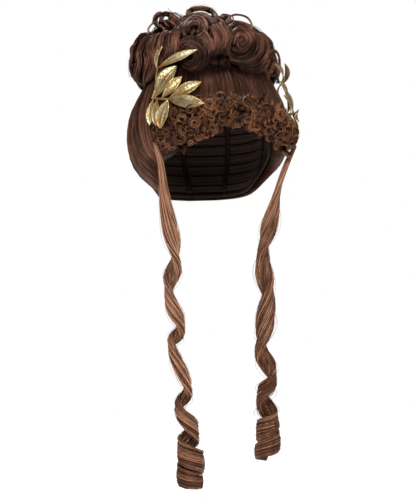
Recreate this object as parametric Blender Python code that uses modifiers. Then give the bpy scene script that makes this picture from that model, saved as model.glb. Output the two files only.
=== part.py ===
"""Long updo wig: a fitted cap under swept-up hair, a crown of pinned curls, a curled fringe, two hanging
side ringlets and a leaf spray comb on each side.

Metres, +Z up. The origin is inside the cap, at the top of its hollow. The front is -Y and the
wig's right side is -X. Azimuths are degrees round it: 0 at the middle of the fringe, 90 at the left
ringlet's side, 180 at the middle of the back."""

from math import acos, atan2, cos, pi, radians, sin, sqrt

import bmesh
import bpy
from mathutils import Vector

for stale in list(bpy.data.objects):
    bpy.data.objects.remove(stale, do_unlink=True)

# ---- driving dimensions -------------------------------------------------------------------------------
GAP = 0.0014  # clearance between neighbouring pieces
CAP_WALL = 0.0015

HOLLOW_DOME = 0.090  # crown down to the widest level of the hollow
HOLLOW_HALF_WIDTH = 0.073
HOLLOW_FRONT = 0.092
HOLLOW_BACK = 0.097
HOLLOW_BELOW = (  # below the widest level: level, share of the width, share of the back depth
    (-0.090, 1.00, 1.00),
    (-0.105, 0.975, 0.98),
    (-0.120, 0.91, 0.91),
    (-0.135, 0.81, 0.80),
    (-0.165, 0.70, 0.66),
)
HAIR_FORM = (  # outside of the swept hair: level, half width, front depth, back depth
    (0.020, 0.050, 0.044, 0.060),
    (0.012, 0.062, 0.058, 0.076),
    (0.004, 0.070, 0.070, 0.086),
    (-0.004, 0.0755, 0.079, 0.093),
    (-0.018, 0.0815, 0.090, 0.101),
    (-0.034, 0.0900, 0.098, 0.110),
    (-0.050, 0.0965, 0.102, 0.119),
    (-0.074, 0.1000, 0.102, 0.125),
    (-0.098, 0.0980, 0.100, 0.122),
    (-0.116, 0.0915, 0.096, 0.116),
    (-0.133, 0.0790, 0.090, 0.102),
    (-0.144, 0.0690, 0.085, 0.091),
    (-0.160, 0.0600, 0.080, 0.078),
)
HAIR_TOP = 0.0235
RIM = (  # hairline: azimuth, level
    (0, -0.044),
    (22, -0.047),
    (36, -0.060),
    (48, -0.084),
    (58, -0.103),
    (68, -0.108),
    (76, -0.114),
    (82, -0.126),
    (90, -0.140),
    (102, -0.148),
    (130, -0.153),
    (180, -0.155),
)

BUN_BACK = 0.016  # the crown of curls sits this far behind the middle of the cap
BUN_RADIUS = 0.0945
BUN_LEVEL = 0.016  # level of its widest ring
BUN_RISE = 0.064
BUN_DROP = 0.075
BUN_SQUARE = 2.3  # 2 is an ellipsoid, more is squarer
PAD_INSET = 0.0145  # curls' thickness over the pad

SWIRLS = (  # flat spiral curls: name, azimuth, rise angle, outer radius, turns, hand, start angle
    ("bun_curl_01", 7, 10, 0.0225, 1.6, -1, 40),
    ("bun_curl_02", -31, 3, 0.0158, 1.6, 1, 200),
    ("bun_curl_03", -29, 30, 0.0130, 1.5, -1, 120),
    ("bun_curl_04", 66, -2, 0.0185, 1.6, 1, 90),
    ("bun_curl_05", 110, -2, 0.0190, 1.6, -1, 60),
    ("bun_curl_06", 155, -3, 0.0195, 1.6, 1, 150),
    ("bun_curl_07", 202, -3, 0.0195, 1.6, -1, 20),
    ("bun_curl_08", 249, -2, 0.0190, 1.6, 1, 110),
    ("bun_curl_09", 66, 28, 0.0125, 1.5, -1, 10),
    ("bun_curl_10", 110, 28, 0.0130, 1.5, 1, 250),
    ("bun_curl_11", 155, 28, 0.0130, 1.5, -1, 70),
    ("bun_curl_12", 202, 28, 0.0130, 1.5, 1, 190),
    ("bun_curl_13", 249, 28, 0.0130, 1.5, -1, 300),
    ("bun_curl_14", -8, 54, 0.0172, 1.6, 1, 30),
    ("bun_curl_15", 28, 54, 0.0172, 1.6, -1, 180),
    ("bun_curl_16", 64, 54, 0.0172, 1.6, 1, 330),
    ("bun_curl_17", 100, 54, 0.0172, 1.6, -1, 80),
    ("bun_curl_18", 136, 54, 0.0172, 1.6, 1, 230),
    ("bun_curl_19", 172, 54, 0.0172, 1.6, -1, 20),
    ("bun_curl_20", 208, 54, 0.0172, 1.6, 1, 140),
    ("bun_curl_21", 244, 54, 0.0172, 1.6, -1, 280),
    ("bun_curl_22", 280, 54, 0.0172, 1.6, 1, 60),
    ("bun_curl_23", 316, 54, 0.0172, 1.6, -1, 200),
    ("bun_curl_24", 20, 78, 0.0165, 1.6, -1, 90),
    ("bun_curl_25", 110, 78, 0.0165, 1.6, 1, 0),
    ("bun_curl_26", 200, 78, 0.0165, 1.6, -1, 210),
    ("bun_curl_27", 290, 78, 0.0165, 1.6, 1, 120),
)
SWIRL_DEPTH = 0.0062  # half the thickness of a bun curl
DRAPES = (  # locks that fall over the side: name, azimuth, half width, top level, bottom level, sway
    ("bun_lock_01", -13.5, 0.0085, 0.057, 0.0115, 0.0008),
    ("bun_lock_02", 31, 0.0125, 0.056, 0.004, 0.0010),
    ("bun_lock_03", 46, 0.0098, 0.053, 0.002, 0.0010),
    ("bun_lock_04", -50, 0.0118, 0.056, 0.0005, 0.0010),
    ("bun_lock_05", -67, 0.0122, 0.055, -0.0065, 0.0012),
    ("bun_lock_06", -83.6, 0.0122, 0.054, -0.013, 0.0012),
    ("bun_lock_07", 88, 0.0140, 0.054, -0.0115, 0.0012),
    ("bun_lock_08", 132, 0.0140, 0.054, -0.014, 0.0012),
    ("bun_lock_09", 178.5, 0.0140, 0.055, -0.006, 0.0012),
    ("bun_lock_10", 225.5, 0.0140, 0.054, -0.014, 0.0012),
)
DRAPE_DEPTH = 0.0048
LOOPS = (  # loose hoops of hair on top: name, azimuth and rise of each foot, height, half thickness
    ("bun_loop_01", 4, 62, 38, 50, 0.0085, 0.0022),
    ("bun_loop_02", -42, 68, 2, 74, 0.0035, 0.0028),
    ("bun_loop_03", -88, 50, -58, 60, 0.0080, 0.0022),
)

FRINGE_HALF_ANGLE = 52
FRINGE_FORM = (  # the band of curls: azimuth, top level, bottom level, thickness
    (0, -0.034, -0.059, 0.0135),
    (12, -0.034, -0.062, 0.0140),
    (24, -0.037, -0.073, 0.0150),
    (34, -0.043, -0.088, 0.0150),
    (44, -0.053, -0.096, 0.0145),
    (52, -0.066, -0.097, 0.0120),
)
PIN_CURLS = (  # ring curls pinned on the fringe: name, azimuth, level, outer radius, hand, start angle
    ("fringe_curl_01", 4.5, -0.0440, 0.0100, -1, 60),
    ("fringe_curl_02", 27.0, -0.0560, 0.0095, 1, 120),
    ("fringe_curl_03", -8.0, -0.0440, 0.0078, 1, 200),
    ("fringe_curl_04", -20.5, -0.0470, 0.0078, -1, 0),
    ("fringe_curl_05", -38.5, -0.0840, 0.0095, 1, 90),
    ("fringe_curl_06", -29.0, -0.0680, 0.0090, -1, 300),
    ("fringe_curl_07", 38.0, -0.0790, 0.0090, -1, 150),
)
PIN_LIFT = 0.0016
PIN_DEPTH = 0.0032

RINGLETS = {  # hanging side locks, from the top down: the axis of the coil, then the lock wound round it
    "ringlet_right": (  # level, x, y, coil radius, half width, half thickness, turns so far
        (-0.090, -0.0930, -0.0640, 0.0000, 0.0050, 0.0020, 0.00),
        (-0.112, -0.0860, -0.0635, 0.0000, 0.0068, 0.0030, 0.05),
        (-0.150, -0.0790, -0.0560, 0.0010, 0.0068, 0.0036, 0.15),
        (-0.200, -0.0740, -0.0590, 0.0020, 0.0088, 0.0038, 0.35),
        (-0.240, -0.0720, -0.0650, 0.0050, 0.0098, 0.0036, 0.75),
        (-0.300, -0.0690, -0.0700, 0.0080, 0.0100, 0.0034, 1.60),
        (-0.370, -0.0660, -0.0770, 0.0088, 0.0102, 0.0034, 2.60),
        (-0.435, -0.0620, -0.0860, 0.0105, 0.0110, 0.0034, 3.60),
        (-0.474, -0.0600, -0.0920, 0.0125, 0.0110, 0.0034, 4.30),
        (-0.502, -0.0590, -0.0960, 0.0105, 0.0085, 0.0028, 5.00),
    ),
    "ringlet_left": (
        (-0.090, 0.0930, -0.0560, 0.0000, 0.0050, 0.0020, 0.00),
        (-0.112, 0.0850, -0.0550, 0.0000, 0.0068, 0.0030, -0.05),
        (-0.150, 0.0765, -0.0490, 0.0010, 0.0068, 0.0036, -0.15),
        (-0.200, 0.0710, -0.0440, 0.0020, 0.0088, 0.0038, -0.35),
        (-0.240, 0.0670, -0.0430, 0.0045, 0.0098, 0.0036, -0.75),
        (-0.290, 0.0640, -0.0460, 0.0075, 0.0100, 0.0034, -1.60),
        (-0.350, 0.0620, -0.0520, 0.0090, 0.0105, 0.0034, -2.70),
        (-0.410, 0.0610, -0.0580, 0.0105, 0.0110, 0.0034, -3.80),
        (-0.454, 0.0610, -0.0610, 0.0125, 0.0110, 0.0034, -4.60),
        (-0.481, 0.0610, -0.0630, 0.0100, 0.0085, 0.0028, -5.20),
    ),
}
RINGLET_STEPS = 60

LEAF_THICKNESS = 0.0012
STEM_RADIUS = 0.0013
LEAVES = (  # stem, place along it, azimuth and level of the tip, half width, lift of the tip, bow, edge roll
    ("broad_up", 0, 0.30, -46.5, 0.003, 0.0088, 0.0060, 0.0040, 10),
    ("inner_up", 0, 1.10, -43.0, -0.010, 0.0052, 0.0100, 0.0020, -25),
    ("front_up", 0, 2.85, -28.0, -0.0175, 0.0056, 0.0110, 0.0030, 18),
    ("front", 0, 2.95, -25.0, -0.0440, 0.0082, 0.0040, 0.0040, 0),
    ("down_front", 0, 1.95, -49.0, -0.0745, 0.0080, 0.0050, 0.0040, -12),
    ("down_mid", 0, 0.65, -55.5, -0.0700, 0.0050, 0.0105, 0.0020, 14),
    ("down_back", 0, 0.15, -62.0, -0.0690, 0.0048, 0.0080, 0.0010, 40),
    ("top_front", 1, 2.90, -31.5, 0.0215, 0.0052, 0.0060, 0.0060, 16),
    ("top_back", 1, 2.70, -55.0, 0.0270, 0.0045, 0.0060, 0.0050, 55),
)
STEMS = (  # azimuth, level and standoff along each stem
    ((-67.5, -0.0350, 0.0045), (-58.0, -0.0365, 0.0060), (-50.5, -0.0378, 0.0066), (-44.5, -0.0388, 0.0072)),
    ((-67.5, -0.0350, 0.0045), (-68.0, -0.0220, 0.0060), (-67.0, -0.0080, 0.0060), (-63.0, 0.0030, 0.0050)),
)
LEFT_SPRAY_DROP = 0.012  # the left spray is set lower and further back
LEFT_SPRAY_TURN = 14

HAIR_COLOUR = (0.105, 0.048, 0.030, 1.0)
NET_COLOUR = (0.040, 0.022, 0.016, 1.0)
GOLD_COLOUR = (0.62, 0.52, 0.27, 1.0)


# ---- form functions -----------------------------------------------------------------------------------
def read(rows, at, column):
    """Value of a column at a level or azimuth, along a smooth curve through the rows."""
    keys = [row[0] for row in rows]
    if keys[0] > keys[-1]:
        rows, keys = rows[::-1], keys[::-1]
    at = min(max(at, keys[0]), keys[-1])
    i = max(k for k in range(len(keys) - 1) if keys[k] <= at)
    span = keys[i + 1] - keys[i]
    t = (at - keys[i]) / span
    a, b = rows[i][column], rows[i + 1][column]
    before, after = max(i - 1, 0), min(i + 2, len(rows) - 1)
    ma = (b - rows[before][column]) / (keys[i + 1] - keys[before]) * span
    mb = (rows[after][column] - a) / (keys[after] - keys[i]) * span
    return (
        (2 * t**3 - 3 * t**2 + 1) * a
        + (t**3 - 2 * t**2 + t) * ma
        + (3 * t**2 - 2 * t**3) * b
        + (t**3 - t**2) * mb
    )


def oval(azimuth, half_width, front, back):
    a = radians(azimuth)
    return half_width * sin(a), -(front if cos(a) > 0 else back) * cos(a)


def rim_level(azimuth):
    turn = abs((azimuth + 180) % 360 - 180)
    return read(RIM, turn, 1)


def hollow_point(azimuth, share, offset, rim_lift=0.0):
    """Point on the inside of the cap, offset outwards; share runs from the crown, 0, to the hairline, 1."""
    dome = HOLLOW_DOME + offset
    top = offset
    rim = rim_level(azimuth) + rim_lift
    low = -HOLLOW_DOME
    rim_angle = acos(max(-1, (rim - low) / dome)) if rim > low else pi / 2 + (low - rim) / dome
    angle = share * rim_angle
    if angle < pi / 2:
        z = low + dome * cos(angle)
        wide, deep = sin(angle), sin(angle)
    else:
        z = low - (angle - pi / 2) * dome
        wide, deep = read(HOLLOW_BELOW, z, 1), read(HOLLOW_BELOW, z, 2)
    x, y = oval(
        azimuth,
        (HOLLOW_HALF_WIDTH + offset) * wide,
        (HOLLOW_FRONT + offset) * wide,
        (HOLLOW_BACK + offset) * deep,
    )
    return Vector((x, y, z)) if z < top + 1 else None


def hair_at(azimuth, level, offset=0.0):
    """Point on the outside of the swept hair."""
    x, y = oval(azimuth, *(read(HAIR_FORM, level, k) + offset for k in (1, 2, 3)))
    return Vector((x, y, level))


def hair_point(azimuth, share):
    """Outside of the swept hair, from the middle of its flat top, 0, to the hairline, 1."""
    top_share = 0.22
    if share < top_share:
        s = share / top_share
        edge = hair_at(azimuth, HAIR_FORM[0][0])
        return Vector((edge.x * s, edge.y * s, HAIR_TOP - (HAIR_TOP - edge.z) * s**2))
    down = (share - top_share) / (1 - top_share)
    rim = rim_level(azimuth) - 0.001
    level = HAIR_FORM[0][0] + (rim - HAIR_FORM[0][0]) * down
    full = hair_at(azimuth, level)
    base = hollow_point(azimuth, 1.0, CAP_WALL + GAP)
    tuck = max(0.0, (down - 0.86) / 0.14) ** 2  # the hair turns in to the hairline
    edge = base.lerp(hair_at(azimuth, rim), 0.55)
    edge.z = rim
    return full.lerp(Vector((edge.x, edge.y, level)), tuck)


def bun_point(azimuth, rise, inset=0.0):
    """(point, outward normal) on the envelope of the crown of curls."""
    a, e = radians(azimuth), radians(rise)
    power = 2 / BUN_SQUARE
    height = BUN_RISE if e >= 0 else BUN_DROP
    ring = cos(e) ** power
    lift = abs(sin(e)) ** power * (1 if e >= 0 else -1)
    outward = Vector((sin(a), -cos(a), 0))
    normal = (
        outward * (ring ** (BUN_SQUARE - 1) / BUN_RADIUS)
        + Vector((0, 0, 1)) * (abs(lift) ** (BUN_SQUARE - 1) / height * (1 if e >= 0 else -1))
    ).normalized()
    point = Vector((0, BUN_BACK, BUN_LEVEL)) + outward * (BUN_RADIUS * ring) + Vector((0, 0, lift * height))
    return point - normal * inset, normal


def bun_at_level(azimuth, level, inset=0.0):
    """Point of the curls' envelope at a level, moved straight in towards the bun's axis."""
    d = level - BUN_LEVEL
    height = BUN_RISE if d > 0 else BUN_DROP
    ring = BUN_RADIUS * (1 - min(0.999, abs(d) / height) ** BUN_SQUARE) ** (1 / BUN_SQUARE) - inset
    a = radians(azimuth)
    return Vector((ring * sin(a), BUN_BACK - ring * cos(a), level))


# ---- mesh helpers -------------------------------------------------------------------------------------
collection = bpy.data.collections.new("long_updo_wig")
bpy.context.scene.collection.children.link(collection)
cutters = bpy.data.collections.new("helpers")
bpy.context.scene.collection.children.link(cutters)


def material(name, colour, roughness, metallic=0.0):
    made = bpy.data.materials.new(name)
    made.use_nodes = True
    shader = made.node_tree.nodes["Principled BSDF"]
    shader.inputs["Base Color"].default_value = colour
    shader.inputs["Roughness"].default_value = roughness
    shader.inputs["Metallic"].default_value = metallic
    made.diffuse_color = colour
    return made


HAIR = material("hair", HAIR_COLOUR, 0.42)
NET = material("cap_net", NET_COLOUR, 0.8)
GOLD = material("gold_leaf", GOLD_COLOUR, 0.28, 1.0)


def add_object(name, bm, look):
    """An object with its origin in the middle of its own box."""
    bmesh.ops.recalc_face_normals(bm, faces=bm.faces)
    if bm.calc_volume(signed=True) < 0 and not any(e.is_boundary for e in bm.edges):
        bmesh.ops.reverse_faces(bm, faces=bm.faces)
    points = [v.co for v in bm.verts]
    middle = Vector([(min(p[k] for p in points) + max(p[k] for p in points)) / 2 for k in range(3)])
    bmesh.ops.translate(bm, verts=bm.verts, vec=-middle)
    mesh = bpy.data.meshes.new(name)
    bm.to_mesh(mesh)
    bm.free()
    mesh.materials.append(look)
    mesh.shade_smooth()
    made = bpy.data.objects.new(name, mesh)
    made.location = middle
    collection.objects.link(made)
    return made


def skin_rings(bm, rings, start, end):
    """A closed form: a ball whose poles go to start and end, and whose parallels go to the rings."""
    sides, count = len(rings[0]), len(rings)
    ball = bmesh.ops.create_uvsphere(bm, u_segments=sides, v_segments=count + 1, radius=1)
    for vert in ball["verts"]:
        row = round(acos(max(-1.0, min(1.0, vert.co.z))) / pi * (count + 1))
        turn = round(atan2(vert.co.y, vert.co.x) / (2 * pi) * sides) % sides
        vert.co = start if row == 0 else end if row > count else rings[row - 1][turn]


def sweep(name, centres, across, half_widths, half_depths, sides, look):
    """A lock: an oval section carried along its centre line, its wide way turned to follow across."""
    rings = []
    tangents = []
    for i in range(len(centres)):
        before, after = max(i - 1, 0), min(i + 1, len(centres) - 1)
        tangents.append((centres[after] - centres[before]).normalized())
    for c, t, w, hw, hd in zip(centres, tangents, across, half_widths, half_depths):
        wide = (w - t * w.dot(t)).normalized()
        deep = t.cross(wide)
        rings.append(
            [
                c + wide * (hw * cos(2 * pi * k / sides)) + deep * (hd * sin(2 * pi * k / sides))
                for k in range(sides)
            ]
        )
    bm = bmesh.new()
    skin_rings(
        bm,
        rings,
        centres[0] - tangents[0] * half_depths[0] * 0.6,
        centres[-1] + tangents[-1] * half_depths[-1] * 0.6,
    )
    return add_object(name, bm, look)


# ---- cap and swept hair -------------------------------------------------------------------------------
def dome(bm, form, columns, rows):
    """An open bowl: a grid rolled round the hollow. form gives a point for an azimuth and a share."""
    grid = bmesh.ops.create_grid(bm, x_segments=columns, y_segments=rows, size=0.5)
    for vert in grid["verts"]:
        vert.co = form(360 * (vert.co.x + 0.5), vert.co.y + 0.5)
    bmesh.ops.remove_doubles(bm, verts=grid["verts"], dist=0.00001)
    return [e for e in bm.edges if e.is_boundary]


bm = bmesh.new()
dome(bm, lambda a, s: hollow_point(a, s, 0.0, 0.003), 36, 9)
cap = add_object("wig_cap", bm, NET)
wall = cap.modifiers.new("wall", "SOLIDIFY")
wall.thickness = CAP_WALL
wall.offset = 1.0

bm = bmesh.new()
dome(bm, lambda a, s: hollow_point(a, s, CAP_WALL + GAP), 36, 9)
dome(bm, hair_point, 36, 14)
bmesh.ops.bridge_loops(bm, edges=[e for e in bm.edges if e.is_boundary])
add_object("swept_hair", bm, HAIR)

# ---- crown of curls -----------------------------------------------------------------------------------
def hair_height(x, y):
    """Level of the swept hair's outside above a point of the plan."""
    def spread(level):
        wide, front, back = (read(HAIR_FORM, level, k) for k in (1, 2, 3))
        return sqrt((x / wide) ** 2 + (y / (front if y < 0 else back)) ** 2)

    top = HAIR_FORM[0][0]
    if spread(top) < 1:
        return HAIR_TOP - (HAIR_TOP - top) * spread(top) ** 2
    low, high = -0.04, top
    for _ in range(30):
        middle = (low + high) / 2
        low, high = (middle, high) if spread(middle) < 1 else (low, middle)
    return low


PAD_GAP = 0.0026
PAD_COLUMNS = 32
PAD_RISES = (4, 22, 42, 60, 76)
rings = []
for share in (0.35, 0.62, 0.82, 0.94):
    ring = []
    for i in range(PAD_COLUMNS):
        a = 2 * pi * i / PAD_COLUMNS
        reach = (BUN_RADIUS - PAD_INSET) * share
        x, y = reach * sin(a), BUN_BACK - reach * cos(a)
        ring.append(Vector((x, y, hair_height(x, y) + PAD_GAP)))
    rings.append(ring)
edge = []
for i in range(PAD_COLUMNS):
    a = 2 * pi * i / PAD_COLUMNS
    reach = BUN_RADIUS - PAD_INSET
    x, y = reach * sin(a), BUN_BACK - reach * cos(a)
    edge.append(Vector((x, y, hair_height(x, y) + PAD_GAP + 0.0005)))
rings.append(edge)
for rise in PAD_RISES:
    rings.append([bun_point(360 * i / PAD_COLUMNS, rise, PAD_INSET)[0] for i in range(PAD_COLUMNS)])
bm = bmesh.new()
skin_rings(
    bm,
    rings,
    Vector((0, BUN_BACK, hair_height(0, BUN_BACK) + PAD_GAP)),
    bun_point(0, 90, PAD_INSET)[0],
)
add_object("bun_pad", bm, HAIR)


def swirl(name, point, normal, up_hint, radius, turns, hand, start, thickness, steps, sides):
    """A lock wound into a flat spiral in the plane square to normal."""
    up = (up_hint - normal * up_hint.dot(normal)).normalized()
    side = up.cross(normal)
    band = 0.175 * radius
    centres, across, widths, depths = [], [], [], []
    for k in range(steps + 1):
        s = k / steps
        angle = radians(start) + hand * 2 * pi * turns * s
        r = (radius - band) + (0.20 * radius - (radius - band)) * s
        ray = side * cos(angle) + up * sin(angle)
        centres.append(point - normal * thickness + ray * r)
        across.append(ray)
        fade = min(1.0, 0.55 + 2.2 * s, 0.6 + 2.0 * (1 - s))
        widths.append(band * fade)
        depths.append(thickness * fade)
    return sweep(name, centres, across, widths, depths, sides, HAIR)


for name, azimuth, rise, radius, turns, hand, start in SWIRLS:
    point, normal = bun_point(azimuth, rise)
    up_hint = Vector((0, 0, 1)) if rise < 60 else Vector((0, 1, 0))
    steps = 17 if radius > 0.0185 else 14
    swirl(name, point, normal, up_hint, radius, turns, hand, start, SWIRL_DEPTH, steps, 6)

for name, azimuth, half_width, top, bottom, sway in DRAPES:
    steps = 9
    out = Vector((sin(radians(azimuth)), -cos(radians(azimuth)), 0))
    side = Vector((cos(radians(azimuth)), sin(radians(azimuth)), 0))
    centres, across, widths, depths = [], [], [], []
    for k in range(steps + 1):
        s = k / steps
        level = top + (bottom - top) * s
        hook = max(0.0, (s - 0.8) / 0.2) ** 2 * 0.0015
        centre = bun_at_level(azimuth, level, DRAPE_DEPTH + 0.0002 + hook) + side * (sway * sin(2 * pi * s))
        centres.append(centre)
        across.append(side)
        fade = sqrt(max(0.16, sin(pi * (0.08 + 0.84 * s))))
        widths.append(half_width * fade)
        depths.append(DRAPE_DEPTH * fade)
    sweep(name, centres, across, widths, depths, 8, HAIR)

for name, azimuth_a, rise_a, azimuth_b, rise_b, height, thickness in LOOPS:
    foot_a, normal_a = bun_point(azimuth_a, rise_a, -(thickness + 0.001))
    foot_b, normal_b = bun_point(azimuth_b, rise_b, -(thickness + 0.001))
    normal = (normal_a + normal_b).normalized()
    middle_point, _ = bun_point((azimuth_a + azimuth_b) / 2, (rise_a + rise_b) / 2, -(thickness + 0.001))
    bulge = (middle_point - (foot_a + foot_b) / 2).dot(normal)
    steps = 12
    centres = []
    for k in range(steps + 1):
        s = k / steps
        arch = sin(pi * s) ** 0.75 if 0 < s < 1 else 0.0
        centres.append(foot_a.lerp(foot_b, 0.5 - 0.5 * cos(pi * s)) + normal * (arch * (height + max(0, bulge))))
    curve = bpy.data.curves.new(name, "CURVE")
    curve.dimensions = "3D"
    curve.bevel_depth = thickness
    curve.bevel_resolution = 1
    curve.use_fill_caps = True
    spline = curve.splines.new("POLY")
    spline.points.add(steps)
    for number, centre in enumerate(centres):
        spline.points[number].co = (*(centre - foot_a), 1)
    curve.materials.append(HAIR)
    hoop = bpy.data.objects.new(name, curve)
    hoop.location = foot_a
    collection.objects.link(hoop)

# ---- fringe -------------------------------------------------------------------------------------------
FRINGE_INNER = 0.0012  # clearance over the swept hair


def fringe_point(azimuth, level, height):
    """Point over the swept hair, height above it, where the fringe lies."""
    return hair_at(azimuth, level, FRINGE_INNER + height)


def fringe_edges(azimuth):
    turn = abs(azimuth)
    return (read(FRINGE_FORM, turn, k) for k in (1, 2, 3))


def fringe_height(azimuth, turn):
    """Height of the band at a turn round its section, from its top edge, 0, to its bottom edge, pi."""
    thick = tuple(fringe_edges(azimuth))[2]
    bump = 1 + 0.10 * sin(azimuth * 0.62) * sin(9 * turn) if 0.2 < turn < 2.9 else 1
    return thick * sin(turn) ** 0.7 * bump


bm = bmesh.new()
rings = []
FRINGE_COLUMNS = 40
for i in range(FRINGE_COLUMNS + 1):
    azimuth = FRINGE_HALF_ANGLE * (2 * i / FRINGE_COLUMNS - 1)
    top, bottom, _ = fringe_edges(azimuth)
    ring = []
    for k in range(12):
        turn = 2 * pi * (k + 0.5) / 12
        level = (top + bottom) / 2 + (top - bottom) / 2 * cos(turn)
        ring.append(fringe_point(azimuth, level, fringe_height(azimuth, turn) if turn < pi else 0.0))
    rings.append(ring)
ends = []
for side in (-1, 1):
    top, bottom, thick = fringe_edges(FRINGE_HALF_ANGLE)
    ends.append(fringe_point(side * (FRINGE_HALF_ANGLE + 2.5), (top + bottom) / 2, thick * 0.4))
skin_rings(bm, rings, *ends)
add_object("fringe_band", bm, HAIR)


def fringe_surface(azimuth, level):
    top, bottom, thick = fringe_edges(azimuth)
    share = max(-0.999, min(0.999, (level - (top + bottom) / 2) / ((top - bottom) / 2)))
    return fringe_point(azimuth, level, thick * sin(acos(share)) ** 0.7)


for name, azimuth, level, radius, hand, start in PIN_CURLS:
    ahead = fringe_surface(azimuth + 2, level) - fringe_surface(azimuth - 2, level)
    above = fringe_surface(azimuth, level + 0.003) - fringe_surface(azimuth, level - 0.003)
    normal = ahead.cross(above).normalized()
    if normal.dot(ahead.cross(Vector((0, 0, 1)))) < 0:
        normal = -normal
    point = fringe_surface(azimuth, level) + normal * (PIN_LIFT + 2 * PIN_DEPTH)
    swirl(name, point, normal, Vector((0, 0, 1)), radius, 1.45, hand, start, PIN_DEPTH, 12, 6)

# ---- side ringlets ------------------------------------------------------------------------------------
for name, rows in RINGLETS.items():
    top, bottom = rows[0][0], rows[-1][0]
    centres, across, widths, depths = [], [], [], []
    facing = 1 if rows[0][1] > 0 else -1
    for k in range(RINGLET_STEPS + 1):
        level = top + (bottom - top) * k / RINGLET_STEPS
        x, y, coil, half_width, half_depth, turn = (read(rows, level, c) for c in range(1, 7))
        angle = 2 * pi * turn + (0 if facing > 0 else pi)
        ray = Vector((cos(angle), sin(angle), 0))
        centres.append(Vector((x, y, level)) + ray * coil)
        across.append(Vector((-ray.y, ray.x, 0.0)))
        widths.append(half_width)
        depths.append(half_depth)
    tilted = []
    for k, wide in enumerate(across):
        before, after = max(k - 1, 0), min(k + 1, RINGLET_STEPS)
        tangent = (centres[after] - centres[before]).normalized()
        ray = Vector((wide.y, -wide.x, 0))
        tilted.append(tangent.cross(ray).normalized())
    sweep(name, centres, tilted, widths, depths, 6, HAIR)


# ---- leaf sprays --------------------------------------------------------------------------------------
def outermost(azimuth, level):
    """Point on whichever stands furthest out there: swept hair, crown of curls or fringe."""
    a = radians(azimuth)
    hair = hair_at(azimuth, level)
    reach = sqrt(hair.x**2 + hair.y**2)
    ray = Vector((hair.x, hair.y, 0)) / reach
    d = level - BUN_LEVEL
    height = BUN_RISE if d > 0 else BUN_DROP
    ring = BUN_RADIUS * max(0.0, 1 - (abs(d) / height) ** BUN_SQUARE) ** (1 / BUN_SQUARE)
    inside = ring**2 - (BUN_BACK * ray.x) ** 2
    if inside > 0:
        reach = max(reach, BUN_BACK * ray.y + sqrt(inside))
    top, bottom, thick = fringe_edges(azimuth)
    across = (level - (top + bottom) / 2) / ((top - bottom) / 2)
    if abs(azimuth) < FRINGE_HALF_ANGLE and abs(across) < 1:
        reach = max(reach, sqrt(hair.x**2 + hair.y**2) + FRINGE_INNER + thick * 1.1 * (1 - across**2) ** 0.35)
    return ray * reach + Vector((0, 0, level))


def spray_point(azimuth, level, standoff, mirror):
    """Point standing off the surface, on the right side or mirrored to the left."""
    left = mirror < 0
    azimuth -= LEFT_SPRAY_TURN if left else 0
    point = outermost(azimuth, level - (LEFT_SPRAY_DROP if left else 0))
    point += Vector((point.x, point.y, 0)).normalized() * standoff
    return Vector((point.x * mirror, point.y, point.z))


def stem_points(stem, mirror):
    return [spray_point(*row, mirror) for row in STEMS[stem]]


def on_stem(stem, place, mirror):
    """Point of the stem's centre line at a place counted in its points."""
    points = stem_points(stem, mirror)
    i = min(int(place), len(points) - 2)
    return points[i].lerp(points[i + 1], place - i)


def leaf_mesh(row, mirror):
    """A pointed leaf folded along its midrib: a grid of stations by left edge, midrib and right edge."""
    _, stem, place, tip_azimuth, tip_level, half_width, tip_lift, bow, roll = row
    base = on_stem(stem, place, mirror)
    tip = spray_point(tip_azimuth, tip_level, tip_lift, mirror)
    outward = Vector((base.x + tip.x, base.y + tip.y, 0)).normalized()
    stations = 6
    grid = []
    for i in range(stations):
        s = i / (stations - 1)
        grid.append((s, base.lerp(tip, s) + outward * (bow * 4 * s * (1 - s))))
    rows = []
    for i, (s, middle) in enumerate(grid):
        before, after = grid[max(i - 1, 0)][1], grid[min(i + 1, stations - 1)][1]
        along = (after - before).normalized()
        outward = Vector((middle.x, middle.y, 0)).normalized()
        side = along.cross(outward).normalized() * mirror
        outward = side.cross(along) * mirror
        twist = radians(roll) * (0.4 + 0.6 * s)
        side = side * cos(twist) + outward * sin(twist)
        half = max(0.0007, half_width * sin(pi * s**0.8)) if i < stations - 1 else 0.0004
        fold = outward * (half * 0.28)
        rows.append((middle - side * half + fold, middle, middle + side * half + fold))
    bm = bmesh.new()
    bmesh.ops.create_grid(bm, x_segments=2, y_segments=stations - 1, size=1)
    for vert in bm.verts:
        vert.co = rows[round((vert.co.y + 1) / 2 * (stations - 1))][round(vert.co.x + 1)]
    bmesh.ops.recalc_face_normals(bm, faces=bm.faces)
    mesh = bpy.data.meshes.new("leaf")
    bm.to_mesh(mesh)
    bm.free()
    return mesh


def baked(name, thing):
    """The evaluated shape of an object as a mesh of its own."""
    graph = bpy.context.evaluated_depsgraph_get()
    bpy.context.view_layer.update()
    mesh = bpy.data.meshes.new_from_object(thing.evaluated_get(graph))
    closed = bmesh.new()
    closed.from_mesh(mesh)
    bmesh.ops.remove_doubles(closed, verts=closed.verts, dist=0.00001)
    bmesh.ops.recalc_face_normals(closed, faces=closed.faces)
    closed.to_mesh(mesh)
    closed.free()
    made = bpy.data.objects.new(name, mesh)
    made.matrix_world = thing.matrix_world.copy()
    bpy.data.objects.remove(thing, do_unlink=True)
    return made


def helper(thing):
    cutters.objects.link(thing)
    thing.hide_render = True
    thing.display_type = "WIRE"
    return thing


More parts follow.
